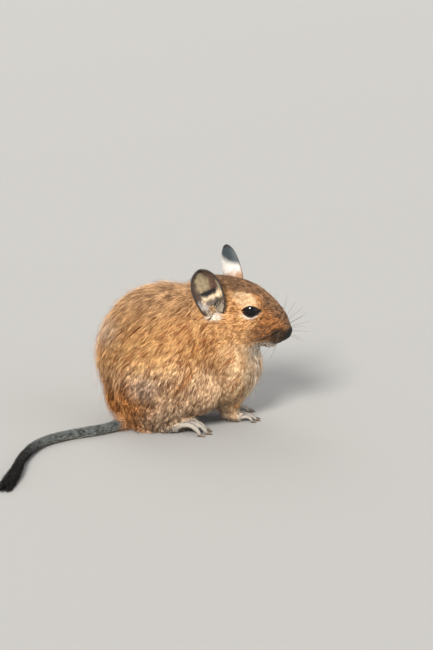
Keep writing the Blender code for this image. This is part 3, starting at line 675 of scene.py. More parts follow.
class Coat:
    """What grows where: for each point of the skin, its place, lie, depth, hair and colours."""

    def __init__(self, mesh, weights):
        self.points = points_of(mesh)
        self.normals = normals_of(mesh)
        self.triangles = triangles_of(mesh)
        self.weights = dict(zip(REGIONS, weights.T))
        self.head = in_head(self.points)
        self.trunk = in_trunk(self.points)
        reaches = [np.linalg.norm(self.points - np.array(middle), axis=1) for middle in EYE_MIDDLES.values()]
        self.eye_reach = np.min(reaches, axis=0)
        self.measure()
        self.colour()
        self.comb()

    def blend(self, values):
        """One value for each point, from each region's own."""
        return sum(self.weights[region] * value for region, value in values.items())

    def share_of(self, regions):
        return sum(self.weights[region] for region in regions)

    def measure(self):
        """Depth of the coat, length and width of its hair, and how many tufts grow on a square millimetre."""
        long = 1 + LOW_COAT_LONGER * smoothstep(*LOW_COAT, self.trunk[:, 2])
        long = long + RUMP_COAT_LONGER * smoothstep(*RUMP_COAT, self.trunk[:, 0])
        near_eye = smoothstep(*SHORT_ABOUT_EYE, self.eye_reach - EYE_RADIUS)
        bare = inside(self.head, *NOSE_PAD, soft=0.4)
        head_depth = np.interp(self.head[:, 0], HEAD_ALONG, HEAD_DEPTH) * mix(LEAST_AT_EYE[0], 1.0, near_eye)
        head_hair = np.interp(self.head[:, 0], HEAD_ALONG, HEAD_HAIR) * mix(LEAST_AT_EYE[1], 1.0, near_eye)
        tail_end = self.tail_share()
        depth = dict(COAT_DEPTH, trunk=COAT_DEPTH["trunk"] * long, head=head_depth * (1 - bare))
        length = dict(HAIR_LENGTH, trunk=HAIR_LENGTH["trunk"] * long, head=head_hair)
        length["tail"] = HAIR_LENGTH["tail"] * (1 + TAIL_COAT_LONGER * smoothstep(*TAIL_COAT, tail_end))
        finer = np.interp(self.head[:, 0], *HEAD_HAIR_THINS)
        width = dict(HAIR_WIDTH, head=HAIR_WIDTH["head"] * finer)
        self.depth = self.blend(depth)
        self.length = self.blend(length)
        self.width = self.blend(width)
        self.crowd = self.blend(HAIR_CROWD) * (1 - bare) * (1 - self.between_lids())

    def tail_share(self):
        """How far along the tail the nearest point of its middle line is."""
        path, shares = tail_path()
        tree = KDTree(len(path))
        for i, point in enumerate(path):
            tree.insert(point, i)
        tree.balance()
        self.tail_step = np.array([tree.find(point)[1] for point in self.points])
        return shares[self.tail_step]

    def between_lids(self):
        open_eye = np.zeros(len(self.points))
        for side in (-1, 1):
            past, places = lid_height(self.points, side)
            near = (places[:, 2] > 0) & (self.eye_reach < EYE_RADIUS + 2)
            open_eye = np.maximum(open_eye, (past < BARE_LID_EDGE) & near)
        return open_eye

    def colour(self):
        """The colours of the dark hairs and of the light ones."""
        self.dark = self.markings(0)
        self.light = self.markings(1)

    def markings(self, shade):
        trunk, head = mirrored(self.trunk), mirrored(self.head)
        waver = WAVER * noise(self.points, WAVER_SIZE)
        up = trunk[:, 2] + waver
        along = trunk[:, 0] + waver

        def lay(under, pair, share):
            return mix(under, pair[shade], share[:, None])

        body = np.tile(LOW_FLANK[shade], (len(up), 1))
        for pair, length_ends, height_ends in TRUNK_LAYERS:
            body = lay(body, pair, ramp(length_ends, along) * ramp(height_ends, up))
        for centre, radii, pair, strength, soft in TRUNK_MARKS:
            body = lay(body, pair, strength * inside(trunk, centre, radii, soft))
        # Painted shade along the flank's fold
        body = lay(body, RUMP, 0.7 * near_line(trunk, FLANK_FOLD_SHADE, 0.040))

        top = np.interp(head[:, 0], HEAD_ALONG, HEAD_TOP)
        under = np.interp(head[:, 0], HEAD_ALONG, HEAD_UNDER)
        rise = (head[:, 2] - under) / (top - under) + waver
        face = np.tile(CHEEK[shade], (len(up), 1))
        face = lay(face, MUZZLE, smoothstep(*MUZZLE_DARKENS, head[:, 0] + waver))
        for pair, length_ends, height_ends in HEAD_LAYERS:
            face = lay(face, pair, ramp(length_ends, head[:, 0]) * ramp(height_ends, rise))
        for centre, radii, pair, strength, soft in HEAD_MARKS:
            face = lay(face, pair, strength * inside(head, centre, radii, soft))
        for side in (-1, 1):
            past, places = lid_height(self.points, side)
            near = (places[:, 2] > 0) & (self.head[:, 1] * side > 0)
            for centre, radii, pair, strength, soft in EYE_MARKS:
                face = lay(face, pair, strength * near * inside(places[:, :2], centre, radii, soft))
            below = near * (1 - smoothstep(-0.42, -0.12, places[:, 1]))
            face = lay(face, WHITE, 0.85 * below * (1 - smoothstep(*EYE_CRESCENT, past)))
            face = lay(face, MUZZLE, 0.85 * near * near_line(places[:, :2], BROW_STRIPE, 0.38))
        face = lay(face, NOSE, inside(self.head, *NOSE_PAD, soft=0.25))

        path, shares = tail_path()
        above = (self.points[:, 2] - path[self.tail_step, 2]) / TAIL_RADIUS
        tail = lay(np.tile(TAIL_UNDER[shade], (len(up), 1)), TAIL_TOP, smoothstep(-0.7, 0.1, above))
        tail = lay(tail, TAIL_END, smoothstep(*TAIL_DARKENS, shares[self.tail_step]))

        legs = lay(body, THROAT, 0.5 * smoothstep(0.70, 0.80, along))
        paws = np.tile(PAW[shade], (len(up), 1))
        parts = {"trunk": body, "head": face, "leg": legs, "foot": paws, "tail": tail}
        return sum(self.weights[region][:, None] * colours for region, colours in parts.items())

    def comb(self):
        """The way the coat lies, along the skin."""
        forward, left, up = HEAD_AXES.T
        head = self.head
        slope = np.radians(np.interp(head[:, 2], *HEAD_SLOPES))[:, None]
        aside = np.sign(head[:, 1:2]) * left
        face = -forward * np.cos(slope) - up * np.sin(slope) + 0.15 * aside
        for side in (-1, 1):
            away = unit(self.points - np.array(EYE_MIDDLES[side]))
            close = 1 - smoothstep(EYE_RADIUS, EYE_RADIUS + 4.0, self.eye_reach)
            facing = self.head[:, 1] * side > 0
            face = face + away * (0.8 * close * facing)[:, None]

        trunk = self.trunk
        slope = np.radians(np.interp(trunk[:, 2], *TRUNK_SLOPES))[:, None]
        outwards = np.array([0.0, 1.0, 0.0]) * np.sign(trunk[:, 1:2])
        body = np.array([-1.0, 0.0, 0.0]) * np.cos(slope) + np.array([0.0, 0.0, -1.0]) * np.sin(slope)
        body = body + 0.12 * outwards
        legs = body + np.array([0.0, 0.0, -0.15])
        path, _ = tail_path()
        ahead = unit(np.gradient(path, axis=0))[self.tail_step]
        paws = np.tile([1.0, 0.0, -0.1], (len(head), 1))
        lies = {"trunk": body, "head": face, "leg": legs, "foot": paws, "tail": ahead}
        lie = sum(self.weights[region][:, None] * way for region, way in lies.items())
        sway = np.stack([noise(self.points + offset, SWAY_SIZE) for offset in (0.0, 40.0, 80.0)], axis=1)
        lie = unit(lie) + SWAY * sway
        self.lie = unit(lie - self.normals * dot(lie, self.normals))


# The face's own forms

# The skin at the eye, by the eyeball's radius: how far out it is moved, how deep it lies in the opening and
# how high on the lids, and past the almond's edge, where it steps up and where it runs out into the face
LID_REACH = 1.40
LID_LEVELS = (0.84, 1.07)
LID_STEP = (-0.10, 0.10)
LID_RUNS_OUT = (0.05, 0.35)

# Mouth, nostrils and whisker pads on the left, by head length, with depths, breadths and swell in millimetres
MOUTH_LINE = ((0.345, 0.0, -0.215), (0.310, 0.045, -0.232), (0.255, 0.085, -0.248), (0.195, 0.120, -0.245))
MOUTH_DEPTH = 0.35
MOUTH_BREADTH = 0.016
NOSTRIL = (0.352, 0.032, -0.116)
NOSTRIL_SIDES = (1.2, 0.8, 1.0)
NOSTRIL_DEPTH = 0.9
NOSTRIL_REACH = 0.75
PAD = (0.335, 0.055, -0.190)
PAD_REACH = 0.075
PAD_SWELL = 1.3


def sculpt(points, normals):
    """Opens the almonds between the lids, and presses in the nostrils and the line of the mouth."""
    for side in (-1, 1):
        past, places = lid_height(points, side)
        reach = np.linalg.norm(places, axis=1)
        at_eye = (reach < LID_REACH) & (places[:, 2] > 0.0)
        wanted = mix(*LID_LEVELS, smoothstep(*LID_STEP, past))
        wanted = mix(wanted, np.maximum(reach, wanted), smoothstep(*LID_RUNS_OUT, past))
        moved = places * (wanted / np.maximum(reach, 1e-6))[:, None] * EYE_RADIUS
        moved = moved @ eye_frame(side) + np.array(EYE_MIDDLES[side])
        points[at_eye] = moved[at_eye]
    head = in_head(points)
    pressed = np.zeros(len(points))
    for side in (-1, 1):
        spot, mouth, pad = (np.array(form) * np.array([1, side, 1]) for form in (NOSTRIL, MOUTH_LINE, PAD))
        reach = np.linalg.norm((head - spot) * HEAD_LENGTH / np.array(NOSTRIL_SIDES), axis=1)
        pressed += NOSTRIL_DEPTH * np.exp(-((reach / NOSTRIL_REACH) ** 2))
        for ends in zip(mouth[:-1], mouth[1:]):
            pressed = np.maximum(pressed, MOUTH_DEPTH * near_line(head, ends, MOUTH_BREADTH))
        reach = np.linalg.norm(head - pad, axis=1) / PAD_REACH
        pressed -= PAD_SWELL * np.exp(-(reach**2))
    return points - normals * pressed[:, None]


# Tufts


def nearest_of(points, numbers, places):
    """For each place the number of the nearest point among these numbers."""
    tree = KDTree(len(numbers))
    for i in numbers.tolist():
        tree.insert(points[i], i)
    tree.balance()
    return np.array([tree.find(place)[1] for place in places.tolist()])


class Tufts:
    """Many tufts with their roots, ready to be grown into meshes."""

    def __init__(self, coat, tree, places, count, crowd, seed):
        random = np.random.default_rng(seed)
        corners = coat.points[coat.triangles]
        crossed = np.cross(corners[:, 1] - corners[:, 0], corners[:, 2] - corners[:, 0])
        area = np.linalg.norm(crossed, axis=1) / 2
        share = np.cumsum(area * crowd[coat.triangles].mean(axis=1))
        spots = (np.arange(count) + random.uniform(size=count)) / count * share[-1]
        chosen = np.searchsorted(share, spots).clip(0, len(share) - 1)
        weights = random.dirichlet((1.0, 1.0, 1.0), count)[:, :, None]
        self.random = random
        self.coat = coat
        self.tree = tree
        self.chosen = coat.triangles[chosen]
        self.weights = weights
        self.count = count
        self.roots = self.sample(coat.points)
        self.normals = unit(self.sample(coat.normals))
        self.lie = unit(self.sample(coat.lie))
        self.places = self.sample(places)

    def sample(self, values):
        """The values at the tufts' roots, from the skin's points."""
        if values.ndim == 1:
            return (values[self.chosen] * self.weights[:, :, 0]).sum(axis=1)
        return (values[self.chosen] * self.weights).sum(axis=1)

    def follow(self, lengths, steps, stray):
        """Lines over the skin from the roots along the coat's lie, with the skin's normal at each step."""
        here, heading = self.roots, self.lie
        turn = self.random.normal(0.0, stray, (self.count, 1))
        heading = unit(heading + turn * np.cross(self.normals, heading))
        path, normals = [here], [self.normals]
        for _ in range(steps):
            aim = here + heading * (lengths / steps)[:, None]
            found = [self.tree.find_nearest(point) for point in aim.tolist()]
            here = np.array([hit[0] for hit in found])
            corner = self.coat.triangles[[hit[2] for hit in found], 0]
            normal = self.coat.normals[corner]
            heading = 0.5 * heading + 0.5 * self.coat.lie[corner]
            heading = unit(heading - normal * dot(heading, normal))
            path.append(here)
            normals.append(normal)
        return np.stack(path, axis=1), np.stack(normals, axis=1)

    def leaders(self, every):
        """For each tuft the nearest of one in so many, that its clump gathers about."""
        guides = self.random.choice(self.count, max(1, self.count // every), replace=False)
        return nearest_of(self.roots, guides, self.roots)


# A blade's width at each step against its full width, by its number of steps, and how thick it is
TAPERS = {1: (0.9,), 2: (0.85, 0.85), 3: (0.8, 1.0, 0.66)}
BLADE_THICKNESS = 0.45


def blades(path, normals, widths):
    """Points and triangles of three-sided tapered blades. The last place of each path is its tip."""
    count, rings = path.shape[0], path.shape[1] - 1
    ahead = unit(np.diff(path, axis=1))
    across = unit(np.cross(ahead, normals[:, :-1]))
    half = widths[:, :, None] / 2
    points = np.empty((count, rings * 3 + 1, 3))
    points[:, 0:-1:3] = path[:, :-1] - across * half
    points[:, 1:-1:3] = path[:, :-1] + across * half
    points[:, 2:-1:3] = path[:, :-1] + normals[:, :-1] * half * 2 * BLADE_THICKNESS
    points[:, -1] = path[:, -1]
    faces = [(0, 1, 2)]
    for ring in range(rings - 1):
        for k in range(3):
            a, b = ring * 3 + k, ring * 3 + (k + 1) % 3
            faces += [(a, a + 3, b + 3), (a, b + 3, b)]
    last = (rings - 1) * 3
    faces += [(last + k, 3 * rings, last + (k + 1) % 3) for k in range(3)]
    triangles = np.array(faces)[None] + (np.arange(count) * points.shape[1])[:, None, None]
    return points, triangles


# The most triangles in one piece of coat, and the size of a tuft's patch on the bake map
PIECE_TRIANGLES = 195_000
PATCH = 0.003


def make_coat(name, points, triangles, colours, places, material):
    """Coat pieces from blades, with a colour for each ring and the tip, and the roots' places on the map."""
    count, corners = points.shape[:2]
    rings = (corners - 1) // 3
    most = PIECE_TRIANGLES // triangles.shape[1]
    ring = np.append(np.repeat(np.arange(rings), 3), rings)
    along = ring / rings - 0.5
    aside = np.append(np.tile([-0.5, 0.5, 0.0], rings), 0.0)
    patch = PATCH * np.stack([along, aside], axis=1)
    shown = []
    for part, first in enumerate(range(0, count, most)):
        last = min(count, first + most)
        piece = make_mesh(
            f"{name}_{part + 1}",
            points[first:last].reshape(-1, 3),
            (triangles[first:last] - triangles[first, 0, 0]).reshape(-1, 3),
        )
        paint(piece, colours[first:last][:, ring].reshape(-1, 3))
        lay_out(piece, (places[first:last, None, :] + patch[None]).reshape(-1, 2))
        shown.append(dress(piece, material))
    return shown


# Materials


def wired(tree, kind, **settings):
    """A shader node with its settings: properties, or inputs with _ for the spaces in their names."""
    node = tree.nodes.new(kind)
    for name, value in settings.items():
        if hasattr(node, name):
            setattr(node, name, value)
        else:
            node.inputs[name.replace("_", " ")].default_value = value
    return node


def cloud_range(tree, cloud, least, most):
    """A noise node's usual values brought to run from the least to the most."""
    scaled = wired(tree, "ShaderNodeMapRange", From_Min=0.25, From_Max=0.75, To_Min=least, To_Max=most)
    tree.links.new(cloud.outputs["Fac"], scaled.inputs["Value"])
    return scaled


def surface(name, roughness, grain, mottle, bump, specular):
    """A material from the painted markings, mottled and roughened by noise of this grain in millimetres."""
    material = bpy.data.materials.new(name)
    material.use_nodes = True
    tree = material.node_tree
    shader = tree.nodes["Principled BSDF"]
    shader.inputs["Specular IOR Level"].default_value = specular
    place = wired(tree, "ShaderNodeTexCoord").outputs["Object"]
    markings = wired(tree, "ShaderNodeAttribute", attribute_name="markings").outputs["Color"]
    cloud = wired(tree, "ShaderNodeTexNoise", Scale=1 / (grain * MM), Detail=3.0, Roughness=0.6)
    tree.links.new(place, cloud.inputs["Vector"])
    shade = cloud_range(tree, cloud, 1 - mottle, 1 + mottle)
    tinted = wired(tree, "ShaderNodeVectorMath", operation="SCALE")
    tree.links.new(markings, tinted.inputs[0])
    tree.links.new(shade.outputs["Result"], tinted.inputs["Scale"])
    tree.links.new(tinted.outputs["Vector"], shader.inputs["Base Color"])
    rough = cloud_range(tree, cloud, *roughness)
    tree.links.new(rough.outputs["Result"], shader.inputs["Roughness"])
    if bump:
        fine = wired(tree, "ShaderNodeTexNoise", Scale=2.5 / (grain * MM), Detail=2.0)
        tree.links.new(place, fine.inputs["Vector"])
        raised = wired(tree, "ShaderNodeBump", Strength=bump, Distance=0.3 * MM)
        tree.links.new(fine.outputs["Fac"], raised.inputs["Height"])
        tree.links.new(raised.outputs["Normal"], shader.inputs["Normal"])
    return material


# Eyes and lids

# Colours of the eye and the lids' edge, and where the iris grows in and ends, by the eye's radius
PUPIL_COLOUR = linear(5, 5, 6)
IRIS_COLOUR = linear(24, 15, 10)
LID_COLOUR = linear(20, 15, 13)
PUPIL_EDGE = (0.42, 0.50)
IRIS_EDGE = (0.92, 0.80)

# The lids' edge: points along it, how far out it lies, squared, and how much thicker it is at its corners
LID_STEPS = 60
LID_LIES_OUT = 1.05
LID_CORNERS = 0.5
LID_CORNER_POWER = 6


def make_eye(side, name, material):
    """The eyeball with a black pupil in a very dark brown iris."""
    points, triangles = ball(EYE_MIDDLES[side], EYE_RADIUS, level=5)
    eye = make_mesh(f"eyeball_{name}", points, triangles)
    places = (points - np.array(EYE_MIDDLES[side])) @ eye_frame(side).T / EYE_RADIUS
    rim = np.linalg.norm(places[:, :2], axis=1)
    iris = smoothstep(*PUPIL_EDGE, rim) * smoothstep(*IRIS_EDGE, rim)
    paint(eye, mix(PUPIL_COLOUR, IRIS_COLOUR, iris[:, None]))
    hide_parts(f"eye_{name}")
    return dress(eye, material)


def make_lids(side, name, material):
    """The dark bare rim of the lids, along the almond."""
    angles = np.linspace(0.0, math.tau, LID_STEPS + 1)[:-1]
    reach = np.cos(angles)
    rise = np.sign(np.sin(angles)) * almond(reach)
    flat = np.stack([reach * LID_OPENING[0], rise * LID_OPENING[1]], axis=1)
    depth = np.sqrt(np.maximum(0.0, LID_LIES_OUT - (flat**2).sum(axis=1)))
    places = np.column_stack([flat, depth]) * EYE_RADIUS
    path = places @ eye_frame(side) + np.array(EYE_MIDDLES[side])
    path = np.vstack([path, path[:1]])
    corners = np.abs(np.cos(np.append(angles, 0.0))) ** LID_CORNER_POWER
    points, triangles = tube(path, LID_RIM * (1 + LID_CORNERS * corners), 8)
    lids = make_mesh(f"lids_{name}", points, triangles)
    paint(lids, np.tile(LID_COLOUR, (len(points), 1)))
    return dress(lids, material)


# Ears


# Folds inside the ear: height up it, slant, breadth, rise in millimetres and where across the ear it grows
EAR_FOLDS = (
    (0.20, 0.10, 0.055, 0.66, (-0.9, 0.2)),
    (0.36, -0.10, 0.040, 0.48, (-0.2, 0.5)),
)

# Strokes inside the ear, by share up it and half its share forward: ends, radius, colour and strength. The
# darkest are painted shade in the fold, in the hole and above the fold.
# The inner ear's dark brown: its own skin, darkened by painted shade over the cup
EAR_INSIDE_AND_SHADE = linear(74, 58, 46)
EAR_STROKES = (
    (((0.80, -0.10), (0.62, 0.00)), 0.24, linear(144, 128, 100), 0.95),
    # painted shade above the fold, towards the front
    (((0.66, 0.24), (0.56, 0.22)), 0.12, linear(84, 56, 44), 0.80),
    (((0.60, 0.42), (0.46, 0.44)), 0.10, linear(168, 154, 132), 0.70),
    (((0.38, -0.14), (0.40, 0.36)), 0.11, linear(222, 200, 168), 0.85),
    # painted shade in the fold's slit
    (((0.46, -0.16), (0.49, 0.20)), 0.09, linear(10, 8, 6), 1.00),
    (((0.30, -0.38), (0.16, -0.20)), 0.13, linear(164, 156, 154), 0.85),
    (((0.05, -0.16), (0.08, 0.30)), 0.10, linear(84, 80, 80), 0.85),
    # painted shade in the ear's hole
    (((0.17, 0.02), (0.21, 0.22)), 0.08, linear(14, 11, 9), 1.00),
)
EAR_RIM_COLOUR = linear(46, 37, 32)
EAR_BACK_TIP = linear(42, 51, 55)
EAR_BACK_WHITE = linear(206, 202, 196)
EAR_BACK_FOOT = linear(158, 122, 90)
EAR_BACK_DARK = 0.72

EAR_ROWS = 41
EAR_COLUMNS = 45

# The leaf's thickness in millimetres at its rim, at its foot and above it, and how high the foot runs up it
EAR_RIM = 0.42
EAR_ROOT_THICKNESS = 1.1
EAR_THICKNESS = 0.6
EAR_FOOT = (0.0, 0.45)

# The rim's breadth by the ear's height, how much narrower it is at the sides, and how far and where it rolls
EAR_RIM_BREADTH = 0.16
EAR_RIM_NARROWS = 1.2
EAR_ROLL = 0.25
EAR_ROLLS_IN = (1.0, 0.3)


def ear_sheet(side):
    """The ear's cupped middle sheet as a grid of points, its shares up and across, and its opening's way."""
    root, tip, opening = [Vector(way[side]) * Vector((1, side, 1)) for way in (EAR_ROOT, EAR_TIP, EAR_AIM)]
    root *= HEAD_LENGTH
    up = (tip * HEAD_LENGTH - root).normalized()
    opening = (opening - up * opening.dot(up)).normalized()
    across = up.cross(opening)
    shares = (1 - np.cos(np.linspace(0, math.pi, EAR_ROWS))) / 2
    columns = np.linspace(-1, 1, EAR_COLUMNS)
    points = np.empty((EAR_ROWS, EAR_COLUMNS, 3))
    for row, t in enumerate(shares.tolist()):
        if t > EAR_WIDEST:
            spread = EAR_TIP_CLOSES * (t - EAR_WIDEST) / (1.0 - EAR_WIDEST)
        else:
            spread = EAR_FOOT_CLOSES * (EAR_WIDEST - t) / EAR_WIDEST
        rounding = (1 - spread**EAR_ROUNDNESS) ** (1 / EAR_ROUNDNESS)
        half_width = EAR_HALF_WIDTH * EAR_LENGTH * rounding
        roll = EAR_CUP_ANGLES[0] + (EAR_CUP_ANGLES[1] - EAR_CUP_ANGLES[0]) * t
        radius = half_width / math.sin(min(roll, math.pi / 2))
        for column, share in enumerate(columns.tolist()):
            angle = roll * share
            bend = across * math.sin(angle) - opening * (math.cos(angle) - math.cos(roll)) * EAR_CUP_DEPTH
            points[row, column] = HEAD_ORIGIN + HEAD_TURN @ (root + up * EAR_LENGTH * t + radius * bend)
    return points, shares, columns, np.array(HEAD_TURN @ opening)


def grid_normals(grid):
    along = np.gradient(grid, axis=0)
    across = np.gradient(grid, axis=1)
    return unit(np.cross(across, along))


def grid_triangles(rows, columns, first=0, turned=False):
    """The triangles of a grid of points, facing the other way if turned."""
    index = np.arange(rows * columns).reshape(rows, columns) + first
    a, b = index[:-1, :-1].ravel(), index[:-1, 1:].ravel()
    c, d = index[1:, 1:].ravel(), index[1:, :-1].ravel()
    if turned:
        b, d = d, b
    return np.concatenate([np.stack([a, b, c], axis=1), np.stack([a, c, d], axis=1)])


def ear_colours(points, up, front, is_inner, edge):
    """The ear's colours by its shares up and forwards: inside, strokes over a brown darkened by painted shade
    in the cup, the darkest strokes painted shade themselves, and behind, dark over white.
    """
    cloud = noise(points, 1.6)
    spots = np.stack([up, 0.5 * front], axis=1)
    inner = np.tile(EAR_INSIDE_AND_SHADE, (len(points), 1))
    for ends, radius, colour, strength in EAR_STROKES:
        share = strength * near_line(spots + 0.05 * cloud[:, None], ends, 1.15 * radius)
        inner = mix(inner, colour, share[:, None])
    inner = inner * (1 + 0.15 * cloud + 0.35 * noise(points + 30.0, 0.8))[:, None]
    dark_from = EAR_BACK_DARK - 0.14 * front + 0.03 * cloud
    back = mix(EAR_BACK_FOOT, EAR_BACK_WHITE, smoothstep(0.34, 0.54, up + 0.06 * cloud)[:, None])
    back = mix(back, EAR_BACK_TIP, smoothstep(-0.10, 0.08, up - dark_from)[:, None])
    colours = np.where(is_inner[:, None], inner, back)
    return mix(EAR_RIM_COLOUR, colours, smoothstep(0.0, 0.45, edge)[:, None])


def make_ear(side, name, material):
    """The ear as a thin cupped leaf with a rolled rim and folds at its foot."""
    sheet, shares, columns, opening = ear_sheet(side)
    normals = grid_normals(sheet)
    facing = np.sign((normals * opening).sum(axis=2).mean())
    normals = normals * facing
    up, across = np.meshgrid(shares, columns, indexing="ij")
    inwards = np.minimum(1 - up, (1 - np.abs(across)) * EAR_RIM_NARROWS)
    edge = np.minimum(1.0, inwards / EAR_RIM_BREADTH)
    leaf = mix(EAR_ROOT_THICKNESS, EAR_THICKNESS, smoothstep(*EAR_FOOT, up))
    thick = mix(EAR_RIM, leaf, smoothstep(0.0, 1.0, edge))
    roll = EAR_ROLL * smoothstep(*EAR_ROLLS_IN, edge)
    fold = 0.0
    for height, slant, breadth, rise, ends in EAR_FOLDS:
        crest = (up - height - slant * across) / breadth
        fold = fold + rise * np.exp(-(crest**2)) * smoothstep(*ends, across * side)
    inner = sheet + normals * (thick / 2 + roll + fold)[:, :, None]
    outer = sheet - normals * (thick / 2)[:, :, None]
    rows, cols = EAR_ROWS, EAR_COLUMNS
    points = np.concatenate([inner.reshape(-1, 3), outer.reshape(-1, 3)])
    turned = facing < 0
    back = rows * cols
    triangles = [grid_triangles(rows, cols, 0, turned), grid_triangles(rows, cols, back, not turned)]
    index = np.arange(back).reshape(rows, cols)
    rim = np.concatenate([index[0], index[1:, -1], index[-1, -2::-1], index[-2:0:-1, 0]])
    after = np.roll(rim, -1)
    halves = ((rim, rim + back, after + back), (rim, after + back, after))
    strip = np.concatenate([np.stack(half, axis=1) for half in halves])
    triangles.append(strip[:, ::-1] if turned else strip)
    ear = make_mesh(f"ear_leaf_{name}", points, np.concatenate(triangles))
    rows_up, rows_across, edge = (np.tile(values.ravel(), 2) for values in (up, across * side, edge))
    is_inner = np.arange(len(points)) < back
    paint(ear, ear_colours(points, rows_up, -rows_across, is_inner, edge))
    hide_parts(f"ear_{name}")
    leaf = (points, normals_of(ear.data), rows_up, rows_across, is_inner, edge)
    return dress(ear, material), leaf


# Claws and whiskers

TOE_TIP_HEIGHT = 0.35
CLAW_RADII = (0.80, 0.68, 0.50, 0.24)
CLAW_SINK = 0.7
CLAW_RISE = 0.3
CLAW_HOOK = 0.7
TOE_SWEEP = math.radians(80)

HIND_FOOT = {
    "heel": (-0.365 * TRUNK_LENGTH, 0.50 * TRUNK_WIDTH / 2),
    "yaw": math.radians(16),
    "length": HIND_FOOT_LENGTH,
    "instep": 0.092,
    "toes": (
        (0.57, -0.065, -16, 0.33),
        (0.59, -0.025, -6, 0.38),
        (0.59, 0.025, 3, 0.39),
        (0.57, 0.068, 13, 0.34),
        (0.46, -0.085, -24, 0.19),
    ),
    "toe_radius": 0.038,
    "toe_rise": 0.085,
    "claw": 0.066,
}
FORE_FOOT = {
    "heel": (0.225 * TRUNK_LENGTH, 0.23 * TRUNK_WIDTH / 2),
    "yaw": math.radians(4),
    "length": FORE_FOOT_LENGTH,
    "instep": 0.15,
    "toes": (
        (0.42, -0.12, -20, 0.42),
        (0.46, -0.04, -6, 0.50),
        (0.46, 0.04, 7, 0.48),
        (0.42, 0.12, 22, 0.38),
        (0.20, -0.18, -38, 0.20),
    ),
    "toe_radius": 0.068,
    "toe_rise": 0.085,
    "claw": 0.12,
}


def toe_lines(plan, side):
    """The middle line of each toe of a foot."""
    length = plan["length"]
    place = Matrix.Translation((plan["heel"][0], side * plan["heel"][1], 0.0))
    place = place @ Matrix.Rotation(side * plan["yaw"], 4, "Z") @ Matrix.Diagonal((1, side, 1, 1))
    lines = []
    for along, aside, degrees, share in plan["toes"]:
        base = Vector((along, aside, plan["instep"])) * length
        way = math.radians(degrees)
        tip_height = TOE_TIP_HEIGHT * plan["toe_radius"] * length
        line = []
        for t in np.linspace(0.0, 1.0, 7).tolist():
            reach = share * length * math.sin(t * TOE_SWEEP) / math.sin(TOE_SWEEP)
            rise = plan["toe_rise"] * length * math.sin(math.pi * t**0.8)
            height = base.z * (1 - t) + tip_height * t + rise
            point = Vector((base.x + reach * math.cos(way), base.y + reach * math.sin(way), height))
            line.append(place @ point + Vector((BODY_ORIGIN.x, BODY_ORIGIN.y, 0.0)))
        lines.append(line)
    return lines


def claw(toe, radius, length):
    """A short hooked claw, rooted in the end of a toe."""
    ahead = toe[-1] - toe[-2]
    ahead.z = 0.0
    ahead.normalize()
    up = Vector((0, 0, radius))
    root = toe[-1] - ahead * CLAW_SINK * radius + up * CLAW_RISE
    shares = np.linspace(0.0, 1.0, 9)
    reach = length + CLAW_SINK * radius
    path = np.array([tuple(root + ahead * reach * t - up * CLAW_HOOK * t * t) for t in shares.tolist()])
    radii = np.interp(shares, np.linspace(0, 1, len(CLAW_RADII)), CLAW_RADII) * radius
    path[:, 2] = np.maximum(path[:, 2], radii)
    return tube(path, radii, 8)


def make_claws(material):
    pieces = []
    for plan in (HIND_FOOT, FORE_FOOT):
        for side in (-1, 1):
            for toe in toe_lines(plan, side):
                pieces.append(claw(toe, plan["toe_radius"] * plan["length"], plan["claw"] * plan["length"]))
    points, triangles = gather(pieces)
    claws = make_mesh("claws", points, triangles)
    paint(claws, mix(linear(58, 46, 38), linear(120, 104, 88), (0.5 + 0.5 * noise(points, 2.0))[:, None]))
    return dress(claws, material)


WHISKER_ROOTS = ((0.290, 0.070, -0.110), (0.195, 0.085, -0.195))
WHISKER_SWEEPS = {-1: (10, -32), 1: (42, -20)}
WHISKER_RISES = {-1: (14, -12), 1: (34, -12)}
WHISKER_LENGTHS = (0.32, 0.46)
WHISKER_DROOP = (-0.08, 0.0, -0.12)
WHISKER_RADII = (0.11, 0.04)
WHISKER_ROWS = 4
WHISKERS_IN_ROW = 5
WHISKER_STEPS = 12


def whisker(side, row, place, length):
    """One whisker, where row runs from 0, the upper, to 1 and place from 0, at the nose, to 1."""
    first, last = WHISKER_ROOTS
    aside = side * mix(first[1], last[1], place)
    root = Vector((mix(first[0], last[0], place), aside, mix(first[2], last[2], row)))
    sweep = math.radians(mix(*WHISKER_SWEEPS[side], place))
    rise = math.radians(mix(*WHISKER_RISES[side], row))
    level = math.cos(rise)
    way = Vector((math.sin(sweep) * level, side * math.cos(sweep) * level, math.sin(rise)))
    length *= mix(*WHISKER_LENGTHS, place)
    path = []
    for t in np.linspace(0.0, 1.0, WHISKER_STEPS).tolist():
        path.append(tuple(on_head(*(root + way * length * t + Vector(WHISKER_DROOP) * length * t * t))))
    return tube(path, np.linspace(*WHISKER_RADII, WHISKER_STEPS), 4)


WHISKER_VARIES = (0.75, 1.0)
WHISKER_COLOUR = linear(96, 84, 72)


def make_whiskers(material):
    """Long fine whiskers in rows on the pads."""
    random = np.random.default_rng(SEED + 5)
    pieces = []
    for side in (-1, 1):
        for row in np.linspace(0.0, 1.0, WHISKER_ROWS).tolist():
            for place in np.linspace(0.0, 1.0, WHISKERS_IN_ROW).tolist():
                pieces.append(whisker(side, row, place, random.uniform(*WHISKER_VARIES)))
    points, triangles = gather(pieces)
    whiskers = make_mesh("whiskers", points, triangles)
    paint(whiskers, np.tile(WHISKER_COLOUR, (len(points), 1)))
    return dress(whiskers, material)


# How far tufts vary against their plan: length, lift by tuft and by clump, width and brightness
LENGTHS = (0.75, 1.2)
LIFTS = (0.72, 1.06)
CLUMP_LIFTS = (0.80, 1.15)
WIDTHS = (0.8, 1.2)
BRIGHTNESS = (0.9, 1.1)

